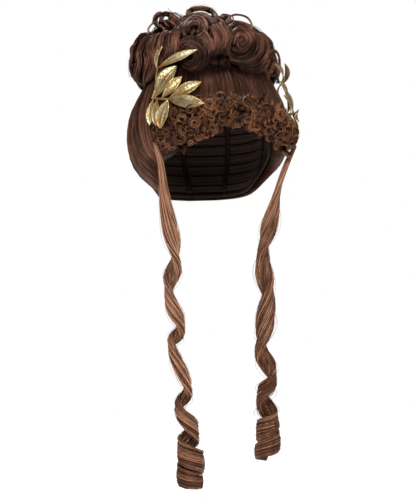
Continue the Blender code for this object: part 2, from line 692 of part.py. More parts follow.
for name, mirror in (("leaf_spray_right", 1), ("leaf_spray_left", -1)):
    pieces = []
    for number, row in enumerate(LEAVES):
        flat = bpy.data.objects.new(f"{name}_{row[0]}", leaf_mesh(row, mirror))
        cutters.objects.link(flat)
        thick = flat.modifiers.new("thickness", "SOLIDIFY")
        thick.thickness = LEAF_THICKNESS
        thick.offset = 0.0
        pieces.append(helper(baked(flat.name, flat)))
    for number in range(len(STEMS)):
        points = stem_points(number, mirror)
        curve = bpy.data.curves.new(f"{name}_stem_{number}", "CURVE")
        curve.dimensions = "3D"
        curve.bevel_depth = STEM_RADIUS
        curve.bevel_resolution = 1
        curve.use_fill_caps = True
        spline = curve.splines.new("POLY")
        spline.points.add(len(points) - 1)
        for k, point in enumerate(points):
            spline.points[k].co = (*point, 1)
        rod = bpy.data.objects.new(curve.name, curve)
        cutters.objects.link(rod)
        pieces.append(helper(baked(rod.name, rod)))
    body = pieces.pop(-2)
    joined = bpy.data.objects.new(name, body.data.copy())
    collection.objects.link(joined)
    joined.data.materials.clear()
    joined.data.materials.append(GOLD)
    soldered = bpy.data.collections.new(f"{name}_leaves")
    cutters.children.link(soldered)
    for other in pieces:
        soldered.objects.link(other)
        cutters.objects.unlink(other)
    union = joined.modifiers.new("solder", "BOOLEAN")
    union.operation = "UNION"
    union.operand_type = "COLLECTION"
    union.collection = soldered
    union.use_self = True
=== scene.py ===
from math import acos, atan2, cos, degrees, pi, radians, sin, sqrt

import bmesh
import bpy
import numpy as np
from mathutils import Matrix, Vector


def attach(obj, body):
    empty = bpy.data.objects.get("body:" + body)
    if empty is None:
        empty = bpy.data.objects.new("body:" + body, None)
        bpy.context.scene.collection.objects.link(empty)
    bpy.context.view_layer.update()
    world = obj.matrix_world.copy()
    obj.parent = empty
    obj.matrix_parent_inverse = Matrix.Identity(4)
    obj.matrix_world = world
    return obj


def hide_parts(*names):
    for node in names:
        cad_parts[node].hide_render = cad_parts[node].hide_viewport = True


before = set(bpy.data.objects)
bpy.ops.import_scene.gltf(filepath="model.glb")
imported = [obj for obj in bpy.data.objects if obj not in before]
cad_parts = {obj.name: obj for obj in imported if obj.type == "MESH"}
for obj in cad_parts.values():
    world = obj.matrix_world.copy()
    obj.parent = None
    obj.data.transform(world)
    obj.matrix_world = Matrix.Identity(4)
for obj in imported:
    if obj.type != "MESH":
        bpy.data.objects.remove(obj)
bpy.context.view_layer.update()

scene = bpy.context.scene
TAU = 2 * pi

# ---- the wig's form, in the CAD frame -----------------------------------------------------------------
# Metres, +Z up, front -Y, the wig's right side -X. Azimuths: 0 front, 90 left side, 180 back.
HOLLOW_DOME, HOLLOW_HALF_WIDTH, HOLLOW_FRONT, HOLLOW_BACK = 0.090, 0.073, 0.092, 0.097
HOLLOW_BELOW = (
    (-0.090, 1.00, 1.00),
    (-0.105, 0.975, 0.98),
    (-0.120, 0.91, 0.91),
    (-0.135, 0.81, 0.80),
    (-0.165, 0.70, 0.66),
)
HAIR_FORM = (
    (0.020, 0.050, 0.044, 0.060),
    (0.012, 0.062, 0.058, 0.076),
    (0.004, 0.070, 0.070, 0.086),
    (-0.004, 0.0755, 0.079, 0.093),
    (-0.018, 0.0815, 0.090, 0.101),
    (-0.034, 0.0900, 0.098, 0.110),
    (-0.050, 0.0965, 0.102, 0.119),
    (-0.074, 0.1000, 0.102, 0.125),
    (-0.098, 0.0980, 0.100, 0.122),
    (-0.116, 0.0915, 0.096, 0.116),
    (-0.133, 0.0790, 0.090, 0.102),
    (-0.144, 0.0690, 0.085, 0.091),
    (-0.160, 0.0600, 0.080, 0.078),
)
HAIR_TOP = 0.0235
CAP_WALL, GAP = 0.0015, 0.0014
RIM = (
    (0, -0.044),
    (22, -0.047),
    (36, -0.060),
    (48, -0.084),
    (58, -0.103),
    (68, -0.108),
    (76, -0.114),
    (82, -0.126),
    (90, -0.140),
    (102, -0.148),
    (130, -0.153),
    (180, -0.155),
)
BUN_BACK, BUN_RADIUS, BUN_LEVEL, BUN_RISE, BUN_DROP, BUN_SQUARE = 0.016, 0.0945, 0.016, 0.064, 0.075, 2.3
SWIRLS = (  # spiral curls: CAD node, azimuth, rise, outer radius, hand, start angle
    ("bun_curl_01", 7, 10, 0.0225, -1, 40),
    ("bun_curl_02", -31, 3, 0.0158, 1, 200),
    ("bun_curl_03", -29, 30, 0.0130, -1, 120),
    ("bun_curl_04", 66, -2, 0.0185, 1, 90),
    ("bun_curl_05", 110, -2, 0.0190, -1, 60),
    ("bun_curl_06", 155, -3, 0.0195, 1, 150),
    ("bun_curl_07", 202, -3, 0.0195, -1, 20),
    ("bun_curl_08", 249, -2, 0.0190, 1, 110),
    ("bun_curl_09", 66, 28, 0.0125, -1, 10),
    ("bun_curl_10", 110, 28, 0.0130, 1, 250),
    ("bun_curl_11", 155, 28, 0.0130, -1, 70),
    ("bun_curl_12", 202, 28, 0.0130, 1, 190),
    ("bun_curl_13", 249, 28, 0.0130, -1, 300),
    ("bun_curl_14", -8, 54, 0.0172, 1, 30),
    ("bun_curl_15", 28, 54, 0.0172, -1, 180),
    ("bun_curl_16", 64, 54, 0.0172, 1, 330),
    ("bun_curl_17", 100, 54, 0.0172, -1, 80),
    ("bun_curl_18", 136, 54, 0.0172, 1, 230),
    ("bun_curl_19", 172, 54, 0.0172, -1, 20),
    ("bun_curl_20", 208, 54, 0.0172, 1, 140),
    ("bun_curl_21", 244, 54, 0.0172, -1, 280),
    ("bun_curl_22", 280, 54, 0.0172, 1, 60),
    ("bun_curl_23", 316, 54, 0.0172, -1, 200),
    ("bun_curl_24", 20, 78, 0.0165, -1, 90),
    ("bun_curl_25", 110, 78, 0.0165, 1, 0),
    ("bun_curl_26", 200, 78, 0.0165, -1, 210),
    ("bun_curl_27", 290, 78, 0.0165, 1, 120),
)
DRAPES = (  # hanging locks: CAD node, azimuth, half width, top level, bottom level
    ("bun_lock_01", -13.5, 0.0085, 0.057, 0.0115),
    ("bun_lock_02", 31, 0.0125, 0.056, 0.004),
    ("bun_lock_03", 46, 0.0098, 0.053, 0.002),
    ("bun_lock_04", -50, 0.0118, 0.056, 0.0005),
    ("bun_lock_05", -67, 0.0122, 0.055, -0.0065),
    ("bun_lock_06", -83.6, 0.0122, 0.054, -0.013),
    ("bun_lock_07", 88, 0.0140, 0.054, -0.0115),
    ("bun_lock_08", 132, 0.0140, 0.054, -0.014),
    ("bun_lock_09", 178.5, 0.0140, 0.055, -0.006),
    ("bun_lock_10", 225.5, 0.0140, 0.054, -0.014),
)
HOOPS = (  # loose hoops on top: CAD node, feet (azimuth, rise), height
    ("bun_loop_01", 4, 62, 38, 50, 0.0085),
    ("bun_loop_02", -42, 68, 2, 74, 0.0035),
    ("bun_loop_03", -88, 50, -58, 60, 0.0080),
)
FRINGE_FORM = (  # azimuth, top level, bottom level, thickness
    (0, -0.034, -0.059, 0.0135),
    (12, -0.034, -0.062, 0.0140),
    (24, -0.037, -0.073, 0.0150),
    (34, -0.043, -0.088, 0.0150),
    (44, -0.053, -0.096, 0.0145),
    (52, -0.066, -0.097, 0.0120),
)
RINGLETS = {
    "ringlet_right": (  # level, x, y, coil radius, half width, half thickness, turns so far
        (-0.090, -0.0930, -0.0640, 0.0000, 0.0050, 0.0020, 0.00),
        (-0.112, -0.0860, -0.0635, 0.0000, 0.0068, 0.0030, 0.05),
        (-0.150, -0.0790, -0.0560, 0.0010, 0.0068, 0.0036, 0.15),
        (-0.200, -0.0740, -0.0590, 0.0020, 0.0088, 0.0038, 0.35),
        (-0.240, -0.0720, -0.0650, 0.0050, 0.0098, 0.0036, 0.75),
        (-0.300, -0.0690, -0.0700, 0.0080, 0.0100, 0.0034, 1.60),
        (-0.370, -0.0660, -0.0770, 0.0088, 0.0102, 0.0034, 2.60),
        (-0.435, -0.0620, -0.0860, 0.0105, 0.0110, 0.0034, 3.60),
        (-0.474, -0.0600, -0.0920, 0.0125, 0.0110, 0.0034, 4.30),
        (-0.502, -0.0590, -0.0960, 0.0105, 0.0085, 0.0028, 5.00),
    ),
    "ringlet_left": (
        (-0.090, 0.0930, -0.0560, 0.0000, 0.0050, 0.0020, 0.00),
        (-0.112, 0.0850, -0.0550, 0.0000, 0.0068, 0.0030, -0.05),
        (-0.150, 0.0765, -0.0490, 0.0010, 0.0068, 0.0036, -0.15),
        (-0.200, 0.0710, -0.0440, 0.0020, 0.0088, 0.0038, -0.35),
        (-0.240, 0.0670, -0.0430, 0.0045, 0.0098, 0.0036, -0.75),
        (-0.290, 0.0640, -0.0460, 0.0075, 0.0100, 0.0034, -1.60),
        (-0.350, 0.0620, -0.0520, 0.0090, 0.0105, 0.0034, -2.70),
        (-0.410, 0.0610, -0.0580, 0.0105, 0.0110, 0.0034, -3.80),
        (-0.454, 0.0610, -0.0610, 0.0125, 0.0110, 0.0034, -4.60),
        (-0.481, 0.0610, -0.0630, 0.0100, 0.0085, 0.0028, -5.20),
    ),
}
LEAVES = (  # stem, place along it, azimuth and level of the tip, half width, lift of the tip, bow, edge roll
    ("broad_up", 0, 0.30, -46.5, 0.003, 0.0088, 0.0060, 0.0040, 10),
    ("inner_up", 0, 1.10, -43.0, -0.010, 0.0052, 0.0100, 0.0020, -25),
    ("front_up", 0, 1.95, -27.5, -0.0180, 0.0058, 0.0110, 0.0040, 18),
    ("front", 0, 1.75, -24.0, -0.0455, 0.0064, 0.0046, 0.0050, 0),
    ("down_front", 0, 1.95, -49.0, -0.0745, 0.0080, 0.0050, 0.0040, -12),
    ("down_mid", 0, 0.65, -55.5, -0.0700, 0.0050, 0.0105, 0.0020, 14),
    ("down_back", 0, 0.15, -62.0, -0.0690, 0.0048, 0.0080, 0.0010, 40),
    ("top_front", 1, 2.90, -26.5, 0.0220, 0.0042, 0.0060, 0.0060, 16),
    ("top_back", 1, 2.70, -55.0, 0.0270, 0.0045, 0.0060, 0.0050, 55),
)
STEMS = (
    ((-67.5, -0.0350, 0.0045), (-58.0, -0.0365, 0.0060), (-50.5, -0.0378, 0.0066), (-44.5, -0.0388, 0.0072)),
    ((-67.5, -0.0350, 0.0045), (-68.0, -0.0220, 0.0060), (-67.0, -0.0080, 0.0060), (-63.0, 0.0030, 0.0050)),
)
LEFT_SPRAY_DROP, LEFT_SPRAY_TURN = 0.012, 17


def hermite(rows, column):
    """Dense samples of the smooth curve through a table's column."""
    rows = sorted(rows, key=lambda r: r[0])
    keys = [r[0] for r in rows]
    xs, ys = [], []
    for i in range(len(keys) - 1):
        span = keys[i + 1] - keys[i]
        a, b = rows[i][column], rows[i + 1][column]
        before, after = max(i - 1, 0), min(i + 2, len(rows) - 1)
        ma = (b - rows[before][column]) / (keys[i + 1] - keys[before]) * span
        mb = (rows[after][column] - a) / (keys[after] - keys[i]) * span
        t = np.linspace(0, 1, 24, endpoint=i == len(keys) - 2)
        xs.append(keys[i] + span * t)
        ys.append(
            (2 * t**3 - 3 * t**2 + 1) * a
            + (t**3 - 2 * t**2 + t) * ma
            + (3 * t**2 - 2 * t**3) * b
            + (t**3 - t**2) * mb
        )
    return np.concatenate(xs), np.concatenate(ys)


CURVES = {}


def read(rows, at, column):
    key = (id(rows), column)
    if key not in CURVES:
        CURVES[key] = hermite(rows, column)
    return np.interp(at, *CURVES[key])


def unit(v):
    return v / np.maximum(np.linalg.norm(v, axis=-1, keepdims=True), 1e-12)


def stack(x, y, z):
    return np.stack(np.broadcast_arrays(x, y, z), axis=-1).astype(float)


def oval(azimuth, half_width, front, back):
    a = np.radians(azimuth)
    return half_width * np.sin(a), -np.where(np.cos(a) > 0, front, back) * np.cos(a)


def rim_level(azimuth):
    return read(RIM, np.abs((np.asarray(azimuth) + 180) % 360 - 180), 1)


def hair_at(azimuth, level, offset=0.0):
    x, y = oval(azimuth, *(read(HAIR_FORM, level, k) + offset for k in (1, 2, 3)))
    return stack(x, y, level)


def hollow_point(azimuth, share, offset, rim_lift=0.0):
    dome = HOLLOW_DOME + offset
    rim = rim_level(azimuth) + rim_lift
    over = np.clip((rim + HOLLOW_DOME) / dome, -1, 1)
    rim_angle = np.where(rim > -HOLLOW_DOME, np.arccos(over), pi / 2 + (-HOLLOW_DOME - rim) / dome)
    angle = share * rim_angle
    upper = angle < pi / 2
    z = np.where(upper, -HOLLOW_DOME + dome * np.cos(angle), -HOLLOW_DOME - (angle - pi / 2) * dome)
    wide = np.where(upper, np.sin(np.minimum(angle, pi / 2)), read(HOLLOW_BELOW, z, 1))
    deep = np.where(upper, np.sin(np.minimum(angle, pi / 2)), read(HOLLOW_BELOW, z, 2))
    x, y = oval(azimuth, (HOLLOW_HALF_WIDTH + offset) * wide, (HOLLOW_FRONT + offset) * wide, (HOLLOW_BACK + offset) * deep)
    return stack(x, y, z)


def hair_point(azimuth, share):
    """Outside of the swept hair: share 0 is the middle of its flat top, 1 the hairline."""
    azimuth, share = np.broadcast_arrays(np.asarray(azimuth, float), np.asarray(share, float))
    top_share, top = 0.22, HAIR_FORM[0][0]
    s = np.clip(share / top_share, 0, 1)
    edge = hair_at(azimuth, np.full(azimuth.shape, top))
    cover = stack(edge[..., 0] * s, edge[..., 1] * s, HAIR_TOP - (HAIR_TOP - top) * s**2)
    down = np.clip((share - top_share) / (1 - top_share), 0, 1)
    rim = rim_level(azimuth) - 0.001
    level = top + (rim - top) * down
    full = hair_at(azimuth, level)
    base = hollow_point(azimuth, 1.0, CAP_WALL + GAP)
    tuck = (np.clip((down - 0.86) / 0.14, 0, 1) ** 2)[..., None]
    rim_edge = base + (hair_at(azimuth, rim) - base) * 0.55
    rim_edge[..., 2] = level
    side = full + (rim_edge - full) * tuck
    return np.where((share < top_share)[..., None], cover, side)


def hair_normal(azimuth, share):
    e = 0.4
    da = hair_point(azimuth + e, share) - hair_point(azimuth - e, share)
    ds = hair_point(azimuth, np.clip(share + 0.01, 0, 1)) - hair_point(azimuth, np.clip(share - 0.01, 0, 1))
    return unit(np.cross(ds, da))


BUN_CENTRE = np.array([0, BUN_BACK, BUN_LEVEL])


def bun_point(azimuth, rise):
    a, e = np.radians(azimuth), np.radians(rise)
    ring = np.abs(np.cos(e)) ** (2 / BUN_SQUARE) * BUN_RADIUS
    lift = np.sign(np.sin(e)) * np.abs(np.sin(e)) ** (2 / BUN_SQUARE)
    lift = lift * np.where(lift > 0, BUN_RISE, BUN_DROP)
    return BUN_CENTRE + stack(ring * np.sin(a), -ring * np.cos(a), lift)


def on_bun(points, inset):
    """(points moved along the bun's rays to its envelope and then in by inset, outward normals)"""
    d = points - BUN_CENTRE
    flat = np.linalg.norm(d[..., :2], axis=-1)
    height = np.where(d[..., 2] > 0, BUN_RISE, BUN_DROP)
    scale = ((flat / BUN_RADIUS) ** BUN_SQUARE + (np.abs(d[..., 2]) / height) ** BUN_SQUARE) ** (1 / BUN_SQUARE)
    d = d / scale[..., None]
    flat = np.maximum(np.linalg.norm(d[..., :2], axis=-1), 1e-9)
    out = d[..., :2] / flat[..., None] * ((flat / BUN_RADIUS) ** (BUN_SQUARE - 1) / BUN_RADIUS)[..., None]
    up = np.sign(d[..., 2]) * (np.abs(d[..., 2]) / height) ** (BUN_SQUARE - 1) / height
    normal = unit(np.concatenate([out, up[..., None]], axis=-1))
    return BUN_CENTRE + d - normal * np.asarray(inset)[..., None], normal


def fringe_edges(azimuth):
    turn = np.abs(azimuth)
    return [read(FRINGE_FORM, turn, k) for k in (1, 2, 3)]


# ---- mesh building ------------------------------------------------------------------------------------
class Tubes:
    """Closed thin tubes gathered into one mesh: strands of hair, and the cores of locks."""

    def __init__(self):
        self.parts = []
        self.points = 0
        self.triangles = 0

    def add(self, centres, outward, half_width, flat, tint, sides=3, slot=0, along=None, seed=None):
        """centres and outward are (tubes, stations, 3); half_width (tubes, stations); tint (tubes,)"""
        tubes, n, _ = centres.shape
        tangent = unit(np.gradient(centres, axis=1))
        wide = unit(np.cross(tangent, outward))
        deep = np.cross(wide, tangent)
        angle = (pi / 2 if sides < 5 else -pi / 2) + TAU * np.arange(sides) / sides
        half_width = np.broadcast_to(half_width, (tubes, n))
        flat = np.broadcast_to(flat, (tubes, n))
        ring = (
            centres[:, :, None]
            + wide[:, :, None] * (half_width[:, :, None] * np.cos(angle))[..., None]
            + deep[:, :, None] * ((half_width * flat)[:, :, None] * np.sin(angle))[..., None]
        )
        at = self.points + (np.arange(tubes)[:, None, None] * n + np.arange(n)[None, :, None]) * sides + np.arange(sides)
        nxt = np.roll(at, -1, axis=2)
        quads = np.stack([at[:, :-1], at[:, 1:], nxt[:, 1:], nxt[:, :-1]], axis=-1).reshape(-1, 4)
        first, last = at[:, 0], at[:, -1][:, ::-1]
        s = np.linspace(0, 1, n) if along is None else along
        run = np.linalg.norm(np.diff(centres, axis=1), axis=2).cumsum(axis=1)
        run = np.concatenate([np.zeros((tubes, 1)), run], axis=1)
        seed = 7.0 * self.points + 3.1 * np.arange(tubes) if seed is None else seed
        across = half_width[:, :, None] * np.cos(angle) / 0.0007 + seed[:, None, None] % 997
        flow = stack(across, (run / 0.022)[:, :, None], 0.0)
        column = (np.arange(tubes)[:, None, None] + 0.05 + 0.9 * np.arange(sides + 1) / sides)
        u = np.broadcast_to(column, (tubes, n, sides + 1))
        v = np.broadcast_to(s[None, :, None], (tubes, n, sides + 1))
        quad_uv = np.stack(
            [
                np.stack([u[:, :-1, :-1], v[:, :-1, :-1]], -1),
                np.stack([u[:, 1:, :-1], v[:, 1:, :-1]], -1),
                np.stack([u[:, 1:, 1:], v[:, 1:, 1:]], -1),
                np.stack([u[:, :-1, 1:], v[:, :-1, 1:]], -1),
            ],
            axis=3,
        ).reshape(-1, 4, 2)
        self.parts.append(
            dict(
                co=ring.reshape(-1, 3),
                quads=quads,
                caps=(first, last),
                quad_uv=quad_uv,
                cap_uv=(np.stack([u[:, 0, :-1], v[:, 0, :-1]], -1), np.stack([u[:, -1, :-1], v[:, -1, :-1]], -1)[:, ::-1]),
                tint=np.repeat((tint if np.ndim(tint) == 2 else np.repeat(np.broadcast_to(tint, (tubes,)), n)).reshape(-1), sides),
                along=np.tile(np.repeat(s, sides), tubes),
                flow=flow.reshape(-1, 3),
                tubes=tubes,
                slot=slot,
            )
        )
        self.points += tubes * n * sides
        self.triangles += len(quads) * 2 + tubes * 2 * (sides - 2)

    def build(self, name, materials):
        total = sum(p["tubes"] for p in self.parts)
        loops, starts, slots, uvs, shift, loop_count = [], [], [], [], 0, 0
        for p in self.parts:
            for faces, uv in ((p["quads"], p["quad_uv"]), (p["caps"][0], p["cap_uv"][0]), (p["caps"][1], p["cap_uv"][1])):
                k = faces.shape[1]
                loops.append(faces.reshape(-1))
                starts.append(loop_count + k * np.arange(len(faces)))
                slots.append(np.full(len(faces), p["slot"]))
                uv = uv.reshape(-1, 2).copy()
                uv[:, 0] = (uv[:, 0] + shift) / total
                uvs.append(uv)
                loop_count += faces.size
            shift += p["tubes"]
        mesh = bpy.data.meshes.new(name)
        co = np.concatenate([p["co"] for p in self.parts])
        loops, starts = np.concatenate(loops), np.concatenate(starts)
        mesh.vertices.add(len(co))
        mesh.vertices.foreach_set("co", co.astype(np.float32).ravel())
        mesh.loops.add(len(loops))
        mesh.loops.foreach_set("vertex_index", loops.astype(np.int32))
        mesh.polygons.add(len(starts))
        mesh.polygons.foreach_set("loop_start", starts.astype(np.int32))
        mesh.polygons.foreach_set("material_index", np.concatenate(slots).astype(np.int32))
        mesh.update(calc_edges=True)
        for key in ("tint", "along"):
            values = np.concatenate([p[key] for p in self.parts]).astype(np.float32)
            mesh.attributes.new(key, "FLOAT", "POINT").data.foreach_set("value", values)
        flow = np.concatenate([p["flow"] for p in self.parts]).astype(np.float32)
        mesh.attributes.new("flow", "FLOAT_VECTOR", "POINT").data.foreach_set("vector", flow.ravel())
        layer = mesh.uv_layers.new(name="OFBake")
        layer.uv.foreach_set("vector", np.concatenate(uvs).astype(np.float32).ravel())
        mesh.shade_smooth()
        for material in materials:
            mesh.materials.append(material)
        made = bpy.data.objects.new(name, mesh)
        scene.collection.objects.link(made)
        return made


def resample(line, n):
    """n even stations on a smooth curve through the points of a line."""
    line = np.asarray(line, float)
    ends = np.concatenate([[2 * line[0] - line[1]], line, [2 * line[-1] - line[-2]]])
    t = np.linspace(0, 1, 9)[:-1, None]
    dense = []
    for a, b, c, d in zip(ends, ends[1:], ends[2:], ends[3:]):
        dense.append(0.5 * (2 * b + (c - a) * t + (2 * a - 5 * b + 4 * c - d) * t**2 + (3 * b - a - 3 * c + d) * t**3))
    dense = np.concatenate(dense + [line[-1:]])
    length = np.concatenate([[0], np.cumsum(np.linalg.norm(np.diff(dense, axis=0), axis=1))])
    at = np.linspace(0, length[-1], n)
    return np.stack([np.interp(at, length, dense[:, k]) for k in range(3)], axis=1)


def lock(
    tubes,
    rng,
    path,
    outward,
    half_width,
    half_depth,
    count,
    tint=0.5,
    strand=0.00050,
    twist=0.6,
    taper=(0.5, 0.25),
    faces=(0, TAU),
    core=True,
    spread=0.10,
    sides=8,
    stray=0.06,
    painted_depth_shade=1.0,
):
    """A lock: strands laid over an oval section that follows a path, round a core darkened as painted shade.
    path and outward are (stations, 3). The section's depth is along outward and its width across it."""
    n = len(path)
    s = np.linspace(0, 1, n)
    tangent = unit(np.gradient(path, axis=0))
    across = unit(np.cross(tangent, outward))
    deep = np.cross(across, tangent)
    shape = np.minimum(1, np.minimum(taper[0] + (1 - taper[0]) * s / 0.14, taper[1] + (1 - taper[1]) * (1 - s) / 0.22))
    shape = np.sqrt(np.clip(shape, 0, 1))
    hw = np.broadcast_to(half_width, (n,)) * shape
    hd = np.broadcast_to(half_depth, (n,)) * shape
    # Painted shade: the core takes the tint less 0.1 and the half-bright body material in slot 1.
    if core:
        tubes.add(path[None], outward[None], (hw * 0.86)[None], (hd / hw)[None], np.broadcast_to(tint, (1, n)) - 0.1, sides=sides, slot=1)
    base = rng.uniform(faces[0], faces[1], count)
    drift = np.sin(TAU * (s[None] * rng.uniform(0.4, 1.3, (count, 1)) + rng.uniform(0, 1, (count, 1))))
    psi = base[:, None] + twist * (s[None] - 0.5) * rng.uniform(0.3, 1.0, (count, 1)) + 0.22 * drift
    reach = 1 - spread * rng.uniform(0, 1, (count, 1))
    reach = reach + 0.07 * np.sin(TAU * (s[None] * rng.uniform(0.8, 2.2, (count, 1)) + rng.uniform(0, 1, (count, 1))))
    loose = rng.uniform(0, 1, count) < stray
    fly = rng.uniform(0.12, 0.55, (count, 1)) * np.sin(pi * s[None]) ** 0.7
    reach = np.where(loose[:, None], 1.02 + fly, reach)
    x, y = np.cos(psi) * reach, np.sin(psi) * reach
    centres = path[None] + across[None] * (x * hw)[..., None] + deep[None] * (y * hd)[..., None]
    normal = unit(
        across[None] * (np.cos(psi) * (hd + 1e-4))[..., None] + deep[None] * (np.sin(psi) * (hw + 1e-4))[..., None]
    )
    end = np.minimum(1, np.minimum(0.35 + s / 0.05, 0.22 + (1 - s) / 0.10))
    thick = strand * np.where(loose, 0.45, 1.0)[:, None] * rng.uniform(0.8, 1.25, (count, 1)) * end[None]
    # Painted shade: strands towards the sides of the section and near the lock's ends are darkened, scaled by the
    # depth-shade argument.
    edge = 1 - np.clip(np.sin(psi), 0, 1)
    painted_end_shade = np.clip((0.16 - s) / 0.16, 0, 1) + np.clip((s - 0.84) / 0.16, 0, 1)
    shades = np.asarray(tint) + rng.normal(0, 0.21, (count, 1)) - painted_depth_shade * (0.30 * edge**1.5 + 0.26 * painted_end_shade[None])
    tubes.add(centres, normal, thick, 0.62, np.clip(shades, 0, 1))


# ---- materials ----------------------------------------------------------------------------------------
def nodes_of(name):
    made = bpy.data.materials.new(name)
    made.use_nodes = True
    tree = made.node_tree
    shader = tree.nodes["Principled BSDF"]

    def node(kind, **values):
        new = tree.nodes.new(kind)
        for key, value in values.items():
            setattr(new, key, value)
        return new

    return made, tree, shader, node


def ramp(node, *stops):
    new = node("ShaderNodeValToRGB")
    while len(new.color_ramp.elements) < len(stops):
        new.color_ramp.elements.new(0.5)
    for element, (place, colour) in zip(new.color_ramp.elements, stops):
        element.position = place
        element.color = (*colour, 1)
    return new


def hair_material(name, dark, middle, light, roughness, gloss, relief=0.0):
    """Hair: each strand has its tint, which also carries the painted shade and painted highlights set where the strands
    are made, and streaks run along the flow of the lock.
    """
    made, tree, shader, node = nodes_of(name)
    tint = node("ShaderNodeAttribute", attribute_name="tint")
    flow = node("ShaderNodeAttribute", attribute_name="flow")
    place = node("ShaderNodeTexCoord")
    streak = node("ShaderNodeTexNoise")
    streak.inputs["Scale"].default_value = 1.0
    streak.inputs["Detail"].default_value = 3
    streak.inputs["Roughness"].default_value = 0.6
    broad = node("ShaderNodeTexNoise")
    broad.inputs["Scale"].default_value = 42
    broad.inputs["Detail"].default_value = 2
    tree.links.new(flow.outputs["Vector"], streak.inputs["Vector"])
    tree.links.new(place.outputs["Object"], broad.inputs["Vector"])

    def plus(fac, gain, other):
        new = node("ShaderNodeMath", operation="MULTIPLY_ADD")
        new.inputs[1].default_value = gain
        tree.links.new(fac, new.inputs[0])
        if isinstance(other, float):
            new.inputs[2].default_value = other
        else:
            tree.links.new(other, new.inputs[2])
        return new.outputs[0]

    centred = plus(tint.outputs["Fac"], 1.0, -0.5 * (STREAK + BROAD))
    shade = plus(broad.outputs["Fac"], BROAD, plus(streak.outputs["Fac"], STREAK, centred))
    shades = ramp(node, (0.08, dark), (0.48, middle), (0.92, light))
    tree.links.new(shade, shades.inputs["Fac"])
    tree.links.new(shades.outputs["Color"], shader.inputs["Base Color"])
    rough = node("ShaderNodeMapRange")
    rough.inputs["To Min"].default_value = roughness - 0.08
    rough.inputs["To Max"].default_value = roughness + 0.12
    tree.links.new(streak.outputs["Fac"], rough.inputs["Value"])
    tree.links.new(rough.outputs["Result"], shader.inputs["Roughness"])
    if relief:
        bump = node("ShaderNodeBump")
        bump.inputs["Strength"].default_value = relief
        bump.inputs["Distance"].default_value = 0.0004
        tree.links.new(streak.outputs["Fac"], bump.inputs["Height"])
        tree.links.new(bump.outputs["Normal"], shader.inputs["Normal"])
    shader.inputs["Specular IOR Level"].default_value = gloss
    shader.inputs["Specular Tint"].default_value = (1.0, 0.62, 0.46, 1)
    return made


STREAK, BROAD = 1.1, 0.6
TONES = (  # dark, middle and light of each kind of hair, roughness, gloss
    ("crown", (0.0062, 0.0019, 0.0012), (0.038, 0.0125, 0.0070), (0.262, 0.108, 0.067), 0.34, 0.55),
    ("swept", (0.0090, 0.0030, 0.0021), (0.053, 0.0195, 0.0115), (0.22, 0.095, 0.058), 0.33, 0.62),
    ("fringe", (0.0066, 0.0021, 0.0010), (0.084, 0.0290, 0.0135), (0.36, 0.155, 0.070), 0.40, 0.45),
    ("ringlet", (0.0260, 0.0088, 0.0046), (0.165, 0.0660, 0.0350), (0.58, 0.310, 0.190), 0.33, 0.60),
)
STRANDS, PAINTED_SHADE_BODY = {}, {}
for kind, dark, middle, light, roughness, gloss in TONES:
    STRANDS[kind] = hair_material("hair_" + kind, dark, middle, light, roughness, gloss)
    # Painted shade: each body material is a half-bright, rougher, barely glossy copy of the strand material, for the
    # cores and bodies under the strands.
    shadowed = tuple(tuple(0.50 * c for c in colour) for colour in (dark, middle, light))
    PAINTED_SHADE_BODY[kind] = hair_material("hair_painted_shade_body_" + kind, *shadowed, roughness + 0.22, 0.05, 0.5)


def painted_shade_core_material():
    """Painted shade: near-black hair for the bases deep between the locks, standing in for the shade there."""
    made, tree, shader, node = nodes_of("hair_deep_painted_shade")
    place = node("ShaderNodeTexCoord")
    noise = node("ShaderNodeTexNoise")
    noise.inputs["Scale"].default_value = 160
    noise.inputs["Detail"].default_value = 3
    tree.links.new(place.outputs["Object"], noise.inputs["Vector"])
    shades = ramp(node, (0.25, (0.008, 0.0026, 0.0014)), (0.75, (0.032, 0.0110, 0.0056)))
    tree.links.new(noise.outputs["Fac"], shades.inputs["Fac"])
    tree.links.new(shades.outputs["Color"], shader.inputs["Base Color"])
    bump = node("ShaderNodeBump")
    bump.inputs["Strength"].default_value = 0.4
    bump.inputs["Distance"].default_value = 0.0005
    tree.links.new(noise.outputs["Fac"], bump.inputs["Height"])
    tree.links.new(bump.outputs["Normal"], shader.inputs["Normal"])
    shader.inputs["Roughness"].default_value = 0.65
    shader.inputs["Specular IOR Level"].default_value = 0.2
    return made


PAINTED_SHADE_CORE = painted_shade_core_material()


def net_material():
    made, tree, shader, node = nodes_of("cap_net")
    uv = node("ShaderNodeUVMap", uv_map="OFBake")
    scale = node("ShaderNodeMapping")
    scale.inputs["Scale"].default_value = (240, 90, 1)
    tree.links.new(uv.outputs["UV"], scale.inputs["Vector"])
    brick = node("ShaderNodeTexVoronoi", distance="CHEBYCHEV", feature="F1")
    brick.inputs["Scale"].default_value = 1.0
    brick.inputs["Randomness"].default_value = 0.12
    tree.links.new(scale.outputs["Vector"], brick.inputs["Vector"])
    shades = ramp(node, (0.30, (0.030, 0.017, 0.013)), (0.48, (0.075, 0.045, 0.035)))
    tree.links.new(brick.outputs["Distance"], shades.inputs["Fac"])
    tree.links.new(shades.outputs["Color"], shader.inputs["Base Color"])
    bump = node("ShaderNodeBump")
    bump.inputs["Strength"].default_value = 0.6
    bump.inputs["Distance"].default_value = 0.0004
    tree.links.new(brick.outputs["Distance"], bump.inputs["Height"])
    tree.links.new(bump.outputs["Normal"], shader.inputs["Normal"])
    shader.inputs["Roughness"].default_value = 0.8
    shader.inputs["Specular IOR Level"].default_value = 0.15
    return made


NET = net_material()


